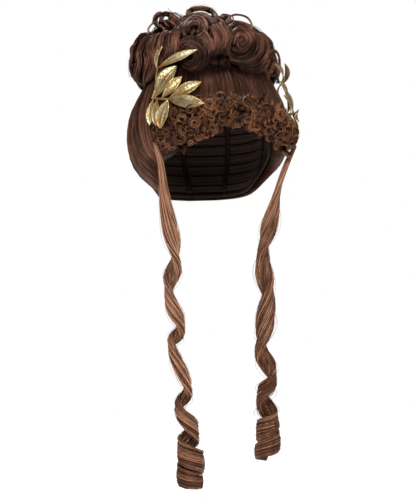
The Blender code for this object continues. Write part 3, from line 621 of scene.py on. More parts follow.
def band_material(name, colour):
    made, tree, shader, node = nodes_of(name)
    place = node("ShaderNodeTexCoord")
    noise = node("ShaderNodeTexNoise")
    noise.inputs["Scale"].default_value = 700
    tree.links.new(place.outputs["Object"], noise.inputs["Vector"])
    shades = ramp(node, (0.3, tuple(c * 0.6 for c in colour)), (0.7, colour))
    tree.links.new(noise.outputs["Fac"], shades.inputs["Fac"])
    tree.links.new(shades.outputs["Color"], shader.inputs["Base Color"])
    shader.inputs["Roughness"].default_value = 0.7
    shader.inputs["Specular IOR Level"].default_value = 0.15
    return made


TAPE = band_material("cap_tape", (0.022, 0.011, 0.008))


def gold_material():
    """Pale pressed metal: a golden rim and midrib, side veins, and stippling between them."""
    made, tree, shader, node = nodes_of("gold_leaf")
    place = node("ShaderNodeTexCoord")
    blade = node("ShaderNodeAttribute", attribute_name="blade")
    parts = node("ShaderNodeSeparateXYZ")
    tree.links.new(blade.outputs["Vector"], parts.inputs["Vector"])

    def math(operation, *values):
        new = node("ShaderNodeMath", operation=operation)
        for socket, value in zip(new.inputs, values):
            if isinstance(value, (int, float)):
                socket.default_value = value
            else:
                tree.links.new(value, socket)
        return new.outputs[0]

    def pulse(value, low, high):
        new = node("ShaderNodeMapRange", interpolation_type="SMOOTHSTEP")
        new.inputs["From Min"].default_value = low
        new.inputs["From Max"].default_value = high
        tree.links.new(value, new.inputs["Value"])
        return new.outputs["Result"]

    across = math("ABSOLUTE", parts.outputs["X"])
    side = math("FRACT", math("ADD", math("MULTIPLY", parts.outputs["Y"], 8.0), math("MULTIPLY", across, -1.4)))
    vein = pulse(math("ABSOLUTE", math("SUBTRACT", side, 0.5)), 0.16, 0.06)
    rib = pulse(across, 0.16, 0.07)
    rim = pulse(across, 0.80, 0.88)
    line = math("MAXIMUM", math("MAXIMUM", vein, rib), rim)
    stipple = node("ShaderNodeTexVoronoi", feature="F1")
    stipple.inputs["Scale"].default_value = 560
    patch = node("ShaderNodeTexNoise")
    patch.inputs["Scale"].default_value = 85
    patch.inputs["Detail"].default_value = 3
    tree.links.new(place.outputs["Object"], stipple.inputs["Vector"])
    tree.links.new(place.outputs["Object"], patch.inputs["Vector"])
    pale = ramp(node, (0.33, (0.62, 0.26, 0.03)), (0.40, (0.55, 0.42, 0.20)), (0.54, (0.66, 0.57, 0.35)), (0.70, (0.88, 0.82, 0.62)))
    tree.links.new(patch.outputs["Fac"], pale.inputs["Fac"])
    dots = ramp(node, (0.12, (0.34, 0.30, 0.26)), (0.45, (1.0, 1.0, 1.0)))
    tree.links.new(stipple.outputs["Distance"], dots.inputs["Fac"])
    mix = node("ShaderNodeMix", data_type="RGBA", blend_type="MULTIPLY")
    mix.inputs["Factor"].default_value = 0.75
    tree.links.new(pale.outputs["Color"], mix.inputs["A"])
    tree.links.new(dots.outputs["Color"], mix.inputs["B"])
    edged = node("ShaderNodeMix", data_type="RGBA")
    tree.links.new(math("MULTIPLY", line, 0.85), edged.inputs["Factor"])
    tree.links.new(mix.outputs["Result"], edged.inputs["A"])
    edged.inputs["B"].default_value = (0.62, 0.40, 0.14, 1)
    tree.links.new(edged.outputs["Result"], shader.inputs["Base Color"])
    rough = node("ShaderNodeMapRange")
    rough.inputs["To Min"].default_value = 0.24
    rough.inputs["To Max"].default_value = 0.46
    tree.links.new(patch.outputs["Fac"], rough.inputs["Value"])
    tree.links.new(rough.outputs["Result"], shader.inputs["Roughness"])
    bump = node("ShaderNodeBump")
    bump.inputs["Strength"].default_value = 0.8
    bump.inputs["Distance"].default_value = 0.0005
    tree.links.new(math("ADD", math("MULTIPLY", stipple.outputs["Distance"], 0.5), line), bump.inputs["Height"])
    tree.links.new(bump.outputs["Normal"], shader.inputs["Normal"])
    shader.inputs["Metallic"].default_value = 0.85
    return made


GOLD = gold_material()


def keep(piece, slot, *nodes):
    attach(piece, "root")
    if nodes:
        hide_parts(*nodes)
    return piece


# ---- bases: closed forms under the strands ------------------------------------------------------------
def grid_shell(name, outer, inner, columns, rows, materials, smooth=True):
    """A closed bowl from two surfaces given on a grid of azimuth and share, joined at the rim."""
    a = np.arange(columns) * 360 / columns
    s = np.arange(1, rows + 1) / rows
    points, faces, slots, uvs = [], [], [], []
    count = 0
    rims = []
    for k, form in enumerate((outer, inner)):
        apex = form(np.array(0.0), np.array(0.0)).reshape(1, 3)
        ring = form(a[None, :], s[:, None]).reshape(-1, 3)
        points += [apex, ring]
        at = lambda r, c: count + 1 + r * columns + c % columns
        v = lambda r: (0.02 + 0.46 * r / rows) + 0.5 * k
        for c in range(columns):
            face = (count, at(0, c), at(0, c + 1))
            uv = ((c / columns, v(0)), (c / columns, v(1)), ((c + 1) / columns, v(1)))
            if k:
                face, uv = face[::-1], uv[::-1]
            faces.append(face)
            uvs += uv
            slots.append(k)
            for r in range(rows - 1):
                face = (at(r, c), at(r + 1, c), at(r + 1, c + 1), at(r, c + 1))
                uv = (
                    (c / columns, v(r + 1)),
                    (c / columns, v(r + 2)),
                    ((c + 1) / columns, v(r + 2)),
                    ((c + 1) / columns, v(r + 1)),
                )
                if k:
                    face, uv = face[::-1], uv[::-1]
                faces.append(face)
                uvs += uv
                slots.append(k)
        rims.append([at(rows - 1, c) for c in range(columns)])
        count += 1 + rows * columns
    for c in range(columns):
        d = (c + 1) % columns
        faces.append((rims[0][c], rims[1][c], rims[1][d], rims[0][d]))
        uvs += ((c / columns, 0.485), (c / columns, 0.495), ((c + 1) / columns, 0.495), ((c + 1) / columns, 0.485))
        slots.append(0)
    mesh = bpy.data.meshes.new(name)
    mesh.from_pydata(np.concatenate(points).tolist(), [], faces)
    layer = mesh.uv_layers.new(name="OFBake")
    layer.uv.foreach_set("vector", np.array(uvs, np.float32).ravel())
    for material in materials:
        mesh.materials.append(material)
    mesh.polygons.foreach_set("material_index", np.array(slots if len(materials) > 1 else [0] * len(slots), np.int32))
    bm = bmesh.new()
    bm.from_mesh(mesh)
    bmesh.ops.recalc_face_normals(bm, faces=bm.faces)
    if bm.calc_volume(signed=True) < 0:
        bmesh.ops.reverse_faces(bm, faces=bm.faces)
    bm.to_mesh(mesh)
    bm.free()
    if smooth:
        mesh.shade_smooth()
    made = bpy.data.objects.new(name, mesh)
    scene.collection.objects.link(made)
    return made


SWEEP = ([0, 25, 50, 66, 82, 100, 118, 140, 165, 180], [0, 3, 14, 26, 30, 22, 8, -5, -3, 0])
SWEPT_LOCKS = 64
SWEPT_RNG = np.random.default_rng(11)
SWEPT_EDGES = np.sort((np.arange(SWEPT_LOCKS) + SWEPT_RNG.uniform(-0.3, 0.3, SWEPT_LOCKS)) * 360 / SWEPT_LOCKS)
SWEPT_TINT = SWEPT_RNG.normal(0, 0.07, SWEPT_LOCKS)
SWEPT_PHASE = SWEPT_RNG.uniform(0, TAU, (SWEPT_LOCKS, 2))


def swept_to(start, share):
    """Azimuth at a share of the way up for the hair that leaves the hairline at start."""
    turn = (start + 180) % 360 - 180
    go = np.clip((1 - share) / 0.83, 0, 1) ** 1.15
    return start + np.sign(turn) * np.interp(np.abs(turn), *SWEEP) * go


def swept_from(azimuth, share):
    """The start whose hair passes there."""
    start = np.array(azimuth, float)
    for _ in range(30):
        start = start - 0.7 * (swept_to(start, share) - azimuth)
    return start


def swept_relief(start, share):
    """(height of the lock's rounded back, its tint) where hair from start lies"""
    start = np.asarray(start) % 360
    wave = 0.8 * np.sin(TAU * (1 - share) * 1.1 + start * 0.05)
    which = np.searchsorted(SWEPT_EDGES, (start + wave) % 360) % SWEPT_LOCKS
    low = SWEPT_EDGES[which - 1]
    high = SWEPT_EDGES[which]
    span = (high - low) % 360
    u = (((start + wave) - low) % 360) / span * 2 - 1
    crown = np.sqrt(np.clip(1 - u**2, 0, 1))
    breathe = 0.55 + 0.45 * np.sin(2.1 * TAU * (1 - share) + SWEPT_PHASE[which, 0])
    return crown * breathe, SWEPT_TINT[which]


def swept_base(azimuth, share):
    point = hair_point(azimuth, share)
    azimuth, share = np.broadcast_arrays(azimuth, share)
    if share.ndim == 0:
        return point - np.array([0, 0, 0.0012])
    normal = hair_normal(azimuth, share)
    crown, _ = swept_relief(swept_from(azimuth, share), share)
    sink = (0.0017 - 0.0010 * crown) * np.clip((1.02 - share) * 12, 0.2, 1)
    return point - normal * sink[..., None]


def swept_body():
    columns, rows = 240, 38
    made = grid_shell(
        "swept_hair_body",
        swept_base,
        lambda a, s: hollow_point(a, s, CAP_WALL + GAP),
        columns,
        rows,
        [PAINTED_SHADE_BODY["swept"]],
    )
    a = np.arange(columns) * 360 / columns
    s = np.arange(1, rows + 1) / rows
    start = swept_from(np.broadcast_to(a[None, :], (rows, columns)), np.broadcast_to(s[:, None], (rows, columns)))
    _, tint = swept_relief(start, np.broadcast_to(s[:, None], start.shape))
    turn = (start + 180) % 360 - 180
    flow = stack(np.abs(turn) * 1.9 + 400 * (turn < 0), s[:, None] * 6.0, 0.0).reshape(-1, 3)
    tint = np.clip(0.62 + tint + swept_painted_shade(start, s[:, None]), 0, 1).reshape(-1)
    whole = np.concatenate([flow[:1], flow, flow[:1], flow])
    # Painted shade: the inner side of the shell, next to the cap, is darkened to a fifth of the tint, and to nothing at
    # its middle.
    shade = np.concatenate([tint[:1], tint, tint[:1] * 0, tint * 0.2])
    mesh = made.data
    mesh.attributes.new("flow", "FLOAT_VECTOR", "POINT").data.foreach_set("vector", whole.astype(np.float32).ravel())
    mesh.attributes.new("tint", "FLOAT", "POINT").data.foreach_set("value", shade.astype(np.float32))
    return made


def swept_painted_shade(start, share):
    """The front is darker, partly darker hair and partly painted shade, and darkest in the painted shadow where the
    crown of curls hangs over it.
    """
    turn = np.abs((np.asarray(start) + 180) % 360 - 180)
    front = np.clip((46 - turn) / 16, 0, 1)
    under = np.clip((0.60 - share) / 0.20, 0, 1)
    return -0.11 * front - 0.60 * under * (0.25 + 0.75 * front)


keep(swept_body(), "hair", "swept_hair")
keep(
    grid_shell(
        "cap_lining",
        lambda a, s: hollow_point(a, s, CAP_WALL, 0.003),
        lambda a, s: hollow_point(a, s, 0.0, 0.003),
        96,
        30,
        [NET],
    ),
    "cap_net",
    "wig_cap",
)


# Sewn rows of hair and elastic tapes inside the cap.
def cap_rows():
    tubes = Tubes()
    rng = np.random.default_rng(3)
    for share in np.linspace(0.16, 0.93, 13):
        a = np.linspace(-180, 180, 65)
        line = hollow_point(a, np.full(65, share), -0.0005, 0.003)
        centre = np.array([0, 0.003, -0.09])
        inward = unit(centre - line)
        tubes.add(line[None], inward[None], np.full((1, 65), 0.0016), 0.55, np.array([0.4]), sides=6)
    for a0 in (-90, -45, 0, 45, 90, 135, 180, 225):
        s = np.linspace(0.08, 0.97, 40)
        line = hollow_point(np.full(40, float(a0)), s, -0.0011, 0.003)
        inward = unit(np.array([0, 0.003, -0.09]) - line)
        tubes.add(line[None], inward[None], np.full((1, 40), 0.0042), 0.13, np.array([0.4]), sides=6)
    s = np.full(65, 0.985)
    a = np.linspace(-180, 180, 65)
    line = hollow_point(a, s, -0.0009, 0.003)
    inward = unit(np.array([0, 0.003, -0.115]) - line)
    tubes.add(line[None], inward[None], np.full((1, 65), 0.0040), 0.22, np.array([0.4]), sides=6)
    return tubes.build("cap_rows", [TAPE])


keep(cap_rows(), "cap_net")


# ---- swept hair ---------------------------------------------------------------------------------------
def swept_strands():
    rng = np.random.default_rng(12)
    tubes = Tubes()
    n, count = 16, 860
    s = np.linspace(1.0, 0.19, n)[None]
    start = rng.uniform(0, 360, (count, 1)) + np.zeros((1, n))
    wander = 0.9 * np.sin(TAU * ((1 - s) * rng.uniform(0.4, 1.1, (count, 1)) + rng.uniform(0, 1, (count, 1))))
    start = start + wander * (1 - s)
    share = np.broadcast_to(s, start.shape)
    azimuth = swept_to(start, share)
    point = hair_point(azimuth, share)
    normal = hair_normal(azimuth, share)
    crown, tint = swept_relief(start, share)
    loose = rng.uniform(0, 1, (count, 1)) < 0.05
    lift = rng.uniform(-0.0003, 0.00035, (count, 1)) + np.where(loose, 0.0011 * np.sin(pi * (1 - s)), 0)
    height = (-0.0012 + 0.0010 * crown + lift) * np.clip((1 - s) / 0.10, 0, 1)
    point = point + normal * height[..., None]
    taper = np.minimum(1, 0.3 + (1 - s) / 0.05)
    width = np.where(loose, 0.00024, 0.00054) * rng.uniform(0.7, 1.3, (count, 1)) * taper
    sleek = 1 - 0.55 * np.clip((46 - np.abs((start + 180) % 360 - 180)) / 16, 0, 1)
    shade = 0.52 + tint + swept_painted_shade(start, share) + rng.normal(0, 0.19, (count, 1)) * sleek
    tubes.add(point, normal, width, 0.5, np.clip(shade, 0, 1))
    return tubes.build("swept_hair_strands", [STRANDS["swept"], PAINTED_SHADE_BODY["swept"]])


keep(swept_strands(), "hair")


# ---- crown of curls -----------------------------------------------------------------------------------
def bun_frame(azimuth, rise):
    point = bun_point(azimuth, rise)
    _, normal = on_bun(point[None], np.zeros(1))
    normal = normal[0]
    hint = np.array([0, 0, 1.0]) if rise < 60 else np.array([0, 1.0, 0])
    up = unit(hint - normal * hint.dot(normal))
    return point, normal, np.cross(up, normal), up


def bun_curve(azimuth, rise, x, y, inset):
    """A curve drawn in the plane that touches the bun there, laid onto the bun and sunk by inset."""
    point, normal, side, up = bun_frame(azimuth, rise)
    return on_bun(point + x[:, None] * side + y[:, None] * up, inset)


def rosette(name, azimuth, rise, radius, hand, start, number):
    rng = np.random.default_rng(100 + number)
    tubes = Tubes()
    radius *= 1.2 if rise > 50 else 1.0
    n = 25
    s = np.linspace(0, 1, n)
    turns = 1.6
    tail = np.clip((0.16 - s) / 0.16, 0, 1)
    angle = radians(start) + hand * TAU * turns * (s - 0.5 * tail * 0.2)
    band = 0.21 * radius
    r = (radius - band) * (1 + 0.32 * tail) + (0.17 * radius - (radius - band)) * s**1.08
    squash = rng.uniform(0.88, 1.0)
    lean = rng.uniform(0, pi)
    x, y = r * np.cos(angle), r * np.sin(angle)
    c, d = cos(lean), sin(lean)
    x, y = c * x - d * y, d * x + c * y
    x *= squash
    x, y = c * x + d * y, -d * x + c * y
    sunk = 0.0 if rise < 50 else 0.0045 if azimuth not in (64, 244, 208, 280) else 0.0090
    sunk = 0.0035 if azimuth == 66 else sunk
    inset = 0.0050 + sunk + 0.0040 * s**1.5 + 0.006 * tail
    path, normal = bun_curve(azimuth, rise, x, y, inset)
    lock(
        tubes,
        rng,
        path,
        normal,
        band * 1.18,
        0.0052,
        29,
        tint=rng.uniform(0.38, 0.60),
        strand=0.00068,
        taper=(0.6, 0.4),
        twist=0.9,
        faces=(-0.5, pi + 0.5),
        spread=0.18,
    )
    return keep(tubes.build(name.replace("bun_", "crown_"), [STRANDS["crown"], PAINTED_SHADE_BODY["crown"]]), "hair", name)


def wave(name, azimuth, half_width, top, bottom, number):
    rng = np.random.default_rng(200 + number)
    tubes = Tubes()
    n = 22
    s = np.linspace(0, 1, n)
    level = top + 0.004 + (bottom - top - 0.004) * np.minimum(1, s * 1.08)
    a = azimuth + (0.0022 * np.sin(TAU * (s * 1.1 + rng.uniform(0, 1)))) / 0.0945 * 57.3
    hook = np.clip((s - 0.80) / 0.20, 0, 1) ** 2
    path, normal = on_bun_level(a, level, 0.0045 + 0.0045 * hook)
    lock(
        tubes,
        rng,
        path,
        normal,
        half_width * 1.10 * (0.9 + 0.16 * np.sin(TAU * (s * 1.3 + rng.uniform(0, 1)))),
        0.0050,
        50,
        tint=rng.uniform(0.42, 0.60),
        strand=0.00062,
        taper=(0.35, 0.30),
        twist=1.3,
        faces=(-0.5, pi + 0.5),
        spread=0.18,
    )
    return keep(tubes.build(name.replace("bun_", "crown_"), [STRANDS["crown"], PAINTED_SHADE_BODY["crown"]]), "hair", name)


def on_bun_level(azimuth, level, inset):
    """Points of the bun's envelope at given levels, moved straight in."""
    d = level - BUN_LEVEL
    height = np.where(d > 0, BUN_RISE, BUN_DROP)
    ring = BUN_RADIUS * (1 - np.minimum(0.999, np.abs(d) / height) ** BUN_SQUARE) ** (1 / BUN_SQUARE)
    a = np.radians(azimuth)
    points = stack(ring * np.sin(a), BUN_BACK - ring * np.cos(a), level)
    _, normal = on_bun(points, np.zeros(np.shape(level)))
    out = unit(normal * np.array([1, 1, 0.35]))
    return points - out * np.asarray(inset)[..., None], normal


for number, (name, azimuth, rise, radius, hand, start) in enumerate(SWIRLS):
    if number not in (0, 1, 2, 13, 14, 21, 22):
        rosette(name, azimuth, rise, radius, hand, start, number)
for number, (name, azimuth, half_width, top, bottom) in enumerate(DRAPES):
    if number > 5:
        wave(name, azimuth, half_width, top, bottom, number)


# Locks of the crown as the front view shows them: half width in mm, how deep under the surface in mm, shade,
# and the run of the lock across and down the view in steps of 1.25 mm.
DRAWN = (
    # left edge, from the top down
    (4.6, 3.0, 0.50, (150, 31), (142, 34), (136, 40), (133, 47), (131, 55), (129.5, 63), (130, 71), (133, 79), (135, 86)),
    (4.2, 3.5, 0.60, (151, 33), (144, 38), (139, 46), (137, 54), (138, 63), (136, 72), (136, 80), (140, 88)),
    (3.6, 5.0, 0.48, (154, 33), (147, 40), (145, 49), (147, 58), (145, 67), (142, 76), (141, 84), (138, 90)),
    (5.2, 3.0, 0.66, (160, 30), (154, 38), (151, 47), (153, 56), (155, 65), (151, 73), (146, 80), (142, 84)),
    (5.4, 2.6, 0.68, (168, 27), (162, 35), (159, 44), (158, 53), (161, 62), (160, 71), (156, 78)),
    (4.4, 4.6, 0.52, (173, 27), (168, 34), (165, 42), (166, 51), (165, 60), (163, 68)),
    (5.6, 3.0, 0.64, (182, 22), (177, 30), (174, 39), (174, 48), (172, 57), (169, 65)),
    (3.2, 7.0, 0.35, (146, 42), (142, 52), (143, 62), (140, 72), (142, 80)),
    # knot at the top left
    (2.6, 2.0, 0.55, (156, 24), (154, 19), (157, 14.5), (161, 16), (161, 20), (157, 21)),
    (4.6, 2.0, 0.60, (158, 17), (164, 13.5), (170, 15), (176, 19), (181, 25), (184, 32)),
    (4.0, 4.0, 0.50, (160, 21), (167, 20), (174, 23), (178, 28), (178, 35)),
    # rosette on the right
    (4.8, 4.2, 0.60, (176, 52), (180, 45), (187, 41), (195, 42), (201, 47), (204, 54), (203, 62), (198, 68), (190, 71), (182, 70)),
    (3.8, 2.8, 0.62, (180, 55), (184, 49), (191, 47), (197, 50), (200, 56), (198, 63), (192, 66), (185, 65), (181, 61)),
    (3.4, 2.0, 0.56, (184, 58), (187, 53), (192, 52), (195, 56), (193, 61), (188, 61), (187, 57)),
    (3.6, 3.0, 0.70, (186, 69), (193, 68), (199, 64), (203, 58)),
    # ring above it
    (3.8, 2.6, 0.58, (185, 36), (183, 29), (185, 22), (191, 17), (198, 16), (204, 20), (206, 27), (203, 33), (196, 36), (189, 35)),
    (2.6, 3.0, 0.50, (188, 31), (188, 25), (192, 21), (197, 21), (200, 25), (198, 30), (193, 31)),
    (4.0, 4.6, 0.55, (196, 36), (203, 38), (209, 44), (210, 52), (206, 59)),
    # waves that hang in the middle
    (4.6, 2.6, 0.78, (201, 28), (206, 34), (210, 41), (211, 48), (208, 55), (204, 61)),
    (4.0, 2.8, 0.74, (211, 20), (214, 28), (217, 36), (217, 44), (214, 51), (211, 57)),
    (5.4, 2.4, 0.80, (218, 19), (221, 27), (225, 35), (225, 43), (221, 50), (217, 55)),
    (3.8, 4.2, 0.52, (222, 19), (227, 25), (229, 33), (227, 41), (227, 50), (224, 57)),
    # the big rosette
    (5.0, 3.6, 0.58, (226, 30), (231, 24), (238, 22), (246, 25), (252, 32), (254, 41), (252, 49), (246, 55), (238, 57), (231, 54), (227, 47)),
    (4.2, 2.6, 0.60, (231, 37), (234, 31), (240, 28), (246, 31), (250, 38), (249, 45), (244, 50), (237, 50), (232, 46)),
    (3.8, 2.4, 0.66, (235, 44), (236, 38), (241, 35), (246, 38), (246, 44), (241, 47), (238, 43), (241, 40)),
    (3.0, 3.4, 0.60, (238, 46), (241, 42), (245, 40), (249, 36)),
    (4.8, 2.8, 0.72, (256, 29), (261, 37), (263, 46), (260, 53), (253, 59), (245, 62), (236, 61), (229, 57)),
    (4.8, 3.6, 0.60, (262, 31), (267, 39), (269, 48), (267, 57), (261, 64), (252, 68), (243, 68)),
    (4.2, 5.4, 0.50, (270, 44), (272, 54), (270, 63), (264, 70), (256, 74), (247, 72)),
    (4.4, 4.0, 0.52, (262, 66), (257, 71), (249, 71), (243, 66), (240, 61)),
    # over the top
    (4.6, 1.5, 0.56, (187, 14), (190, 10), (198, 8.5), (207, 9), (213, 12), (217, 18)),
    (3.8, 1.5, 0.50, (187, 16), (193, 14.5), (200, 14.5), (206, 17), (211, 21), (214, 28)),
    (4.4, 3.4, 0.56, (228, 22), (236, 21), (246, 25), (253, 30), (259, 38), (262, 47)),
    (4.0, 4.0, 0.50, (246, 23), (254, 27), (262, 34), (268, 43), (271, 53), (270, 62)),
    (3.0, 2.0, 0.46, (222, 18), (226, 15), (230, 18), (228, 23)),
    (3.6, 4.6, 0.50, (206, 19), (213, 17), (221, 19), (227, 25)),
    # right edge
    (3.0, 3.0, 0.50, (268, 58), (272, 56), (275, 60), (274, 67), (271, 73), (271, 80)),
    (2.6, 4.4, 0.44, (264, 68), (268, 72), (270, 79), (268, 85)),
)
STANDING = (  # hoops and flyaways that stand off the crown: half width in mm, how many hairs, and their run
    (1.35, 26, (226, 24), (228, 19), (232, 15.5), (238, 14), (244, 15.5), (249, 20), (252, 26), (251, 31)),
    (1.10, 20, (155, 21), (151, 25), (148, 30), (147, 35)),
    (0.90, 14, (157, 20), (159, 24), (162, 29), (164, 33)),
    (1.00, 14, (161, 19), (165, 23), (169, 26)),
    (1.60, 28, (268, 55), (271, 51), (275, 51), (279, 56), (280, 63), (279, 70), (277, 77), (277, 83)),
    (1.10, 16, (272, 56), (275, 60), (276, 68), (277, 76), (279, 84)),
    (1.20, 18, (137, 42), (133, 47), (131, 53), (130, 60)),
    (1.60, 22, (205, 9), (212, 10), (217, 14), (218, 19)),
    (0.50, 5, (168, 8), (172, 11), (178, 14), (186, 16)),
    (0.45, 4, (170, 11), (176, 15), (183, 17)),
    (0.45, 4, (196, 9), (203, 6.5), (211, 9), (216, 14)),
    (0.35, 3, (252, 24), (259, 28), (264, 34)),
)
VIEW = radians(-20)
VIEW_RIGHT = np.array([cos(VIEW), sin(VIEW), 0])
VIEW_BACK = np.array([sin(VIEW), -cos(VIEW), 0])
VIEW_FROM = np.array([0, 0, -0.217]) - VIEW_RIGHT * 0.00125 + VIEW_BACK * 2.2


def seen(x, y):
    """The nearest point of the crown's surface, or the one closest to it, along a line of the front view."""
    ray = -VIEW_BACK[None] * 1760 + VIEW_RIGHT[None] * (x - 208)[:, None] + np.array([[0, 0, 1.0]]) * (248.5 - y)[:, None]
    ray = unit(ray)
    t = np.linspace(2.05, 2.36, 621)
    at = VIEW_FROM + ray[:, None] * t[None, :, None]
    d = at - BUN_CENTRE
    flat = np.linalg.norm(d[..., :2], axis=-1) / BUN_RADIUS
    height = np.where(d[..., 2] > 0, BUN_RISE, BUN_DROP)
    size = flat**BUN_SQUARE + (np.abs(d[..., 2]) / height) ** BUN_SQUARE
    inside = size < 1
    pick = np.where(inside.any(axis=1), inside.argmax(axis=1), size.argmin(axis=1))
    each = np.arange(len(x))
    return at[each, pick], np.maximum(size[each, pick], 1) ** (1 / BUN_SQUARE)


def drawn_path(points, n):
    flat = resample([(x, y, 0) for x, y in points], n)
    return seen(flat[:, 0], flat[:, 1])


def blend_ends(values, n):
    """Smooth a run of heights so that no lock jumps."""
    kernel = np.array([1, 2, 3, 2, 1.0]) / 9
    return np.convolve(np.concatenate([[values[0]] * 2, values, [values[-1]] * 2]), kernel, "valid")


def drawn_locks():
    """The locks on the front of the crown."""
    pieces = [Tubes() for _ in range(3)]
    for number, (half_width, depth, shade, *points) in enumerate(DRAWN):
        rng = np.random.default_rng(500 + number)
        n = 17 if len(points) < 8 else 22
        path, outside = drawn_path(points, n)
        s = np.linspace(0, 1, n)
        px, py = resample([(x, y, 0) for x, y in points], n)[:, :2].T
        # Painted shade: low darkens the lower part of the middle waves, where the crown hangs over the front.
        low = np.clip((py - 42 + 0.10 * np.abs(px - 224)) / 14, 0, 1) * np.clip((42 - np.abs(px - 224)) / 14, 0, 1)
        proud = blend_ends((outside - 1) * BUN_RADIUS, n)
        sink = depth * 0.001 + 0.004 * np.clip((0.12 - s) / 0.12, 0, 1) + 0.003 * np.clip((s - 0.9) / 0.1, 0, 1)
        path, normal = on_bun(path, sink - proud)
        lean = 0.35 * np.sin(TAU * (s * rng.uniform(0.5, 1.0) + rng.uniform(0, 1)))[:, None]
        side = np.cross(unit(np.gradient(path, axis=0)), normal)
        # The tint takes painted shade from low and a painted highlight, a lighter band part way along each lock.
        lock(
            pieces[number % 3],
            rng,
            path,
            unit(normal + side * lean),
            half_width * 0.001 * (0.84 + 0.14 * np.sin(TAU * (s * 1.2 + rng.uniform(0, 1)))),
            0.0030 + 0.12 * half_width * 0.001,
            41,
            tint=(shade - 0.10 - 0.50 * low + 0.32 * np.exp(-(((s - rng.uniform(0.35, 0.6)) / 0.17) ** 2)))[None],
            strand=0.00048,
            taper=(0.30, 0.12),
            twist=1.2,
            faces=(-0.5, pi + 0.5),
            spread=0.22,
            sides=10,
            stray=0.09,
        )
        aside = rng.choice([-1, 1]) * rng.uniform(0.7, 1.3) * half_width * 0.001
        bend = aside * (0.5 + np.sin(pi * s * rng.uniform(0.8, 1.4)))
        lock(
            pieces[number % 3],
            rng,
            path + side * bend[:, None] + normal * 0.0016,
            normal,
            rng.uniform(0.0008, 0.0016),
            0.0009,
            9,
            tint=(shade + rng.uniform(-0.15, 0.15) - 0.50 * low)[None],
            strand=0.00036,
            taper=(0.3, 0.1),
            twist=2.0,
            core=False,
            spread=0.5,
            stray=0.2,
        )
    names = [row[0] for row in SWIRLS[:3]] + [row[0] for row in DRAPES[:6]] + [row[0] for row in HOOPS]
    names += [row[0] for row in SWIRLS[13:15]] + [SWIRLS[21][0], SWIRLS[22][0]]
    for k, piece in enumerate(pieces):
        keep(
            piece.build("crown_front_%d" % (k + 1), [STRANDS["crown"], PAINTED_SHADE_BODY["crown"]]),
            "hair",
            *names[k::3],
        )


def standing_hairs():
    tubes = Tubes()
    for number, (half_width, count, *points) in enumerate(STANDING):
        rng = np.random.default_rng(560 + number)
        n = 24
        path, _ = drawn_path(points, n)
        s = np.linspace(0, 1, n)
        sway = 0.0006 * rng.normal(0, 1, (3, 3)) @ np.stack([np.sin(TAU * s * k / 2) for k in (1, 2, 3)])
        lock(
            tubes,
            rng,
            path + sway.T,
            np.broadcast_to(unit(VIEW_BACK + np.array([0, 0, 0.3])), path.shape),
            half_width * 0.001,
            half_width * 0.0009,
            count,
            tint=0.92,
            strand=0.00026 if count > 8 else 0.00016,
            taper=(0.8, 0.6),
            twist=2.0,
            core=count > 12,
            sides=6,
            spread=0.25 if count > 8 else 0.8,
            stray=0.16,
        )
    keep(tubes.build("crown_loose_hairs", [STRANDS["crown"], PAINTED_SHADE_BODY["crown"]]), "hair")


drawn_locks()
standing_hairs()


def filler(name, chosen, seed):
    rng = np.random.default_rng(seed)
    tubes = Tubes()
    for azimuth, rise, radius, first, last, half_width, inset in chosen:
        n = 15
        s = np.linspace(0, 1, n)
        angle = np.radians(first + (last - first) * s)
        r = radius * (1 + 0.14 * (s - 0.5)) * (1 + 0.04 * np.sin(TAU * (s + rng.uniform(0, 1))))
        sink = inset + 0.006 * np.clip((0.2 - s) / 0.2, 0, 1) + 0.005 * np.clip((s - 0.82) / 0.18, 0, 1)
        path, normal = bun_curve(azimuth, rise, r * np.cos(angle), r * np.sin(angle), sink)
        # Painted shade: the deep fill locks take a darker tint, and the low ones at the front take 0.30 less, under the
        # overhanging crown.
        lock(
            tubes,
            rng,
            path,
            normal,
            half_width,
            0.0038,
            13,
            tint=rng.uniform(0.24, 0.46) - (0.30 if rise < 12 and abs((azimuth + 180) % 360 - 180) < 45 else 0.0),
            strand=0.00066,
            taper=(0.5, 0.4),
            twist=1.2,
            faces=(-0.5, pi + 0.5),
            sides=8,
        )
    return keep(tubes.build(name, [STRANDS["crown"], PAINTED_SHADE_BODY["crown"]]), "hair")


fill_rng = np.random.default_rng(5)
rows = []
for rise, count in ((-8, 10), (10, 9), (28, 8), (44, 7), (66, 5)):
    for k in range(count):
        azimuth = 360 * (k + 0.5 + fill_rng.uniform(-0.25, 0.25)) / count
        first = fill_rng.uniform(0, 360)
        rows.append(
            (
                azimuth,
                rise + fill_rng.uniform(-5, 5),
                fill_rng.uniform(0.011, 0.021),
                first,
                first + fill_rng.choice([-1, 1]) * fill_rng.uniform(150, 290),
                fill_rng.uniform(0.0042, 0.0060),
                fill_rng.uniform(0.0085, 0.0105) + (0.003 if rise > 40 else 0),
            )
        )
filler("crown_fill", rows, 401)


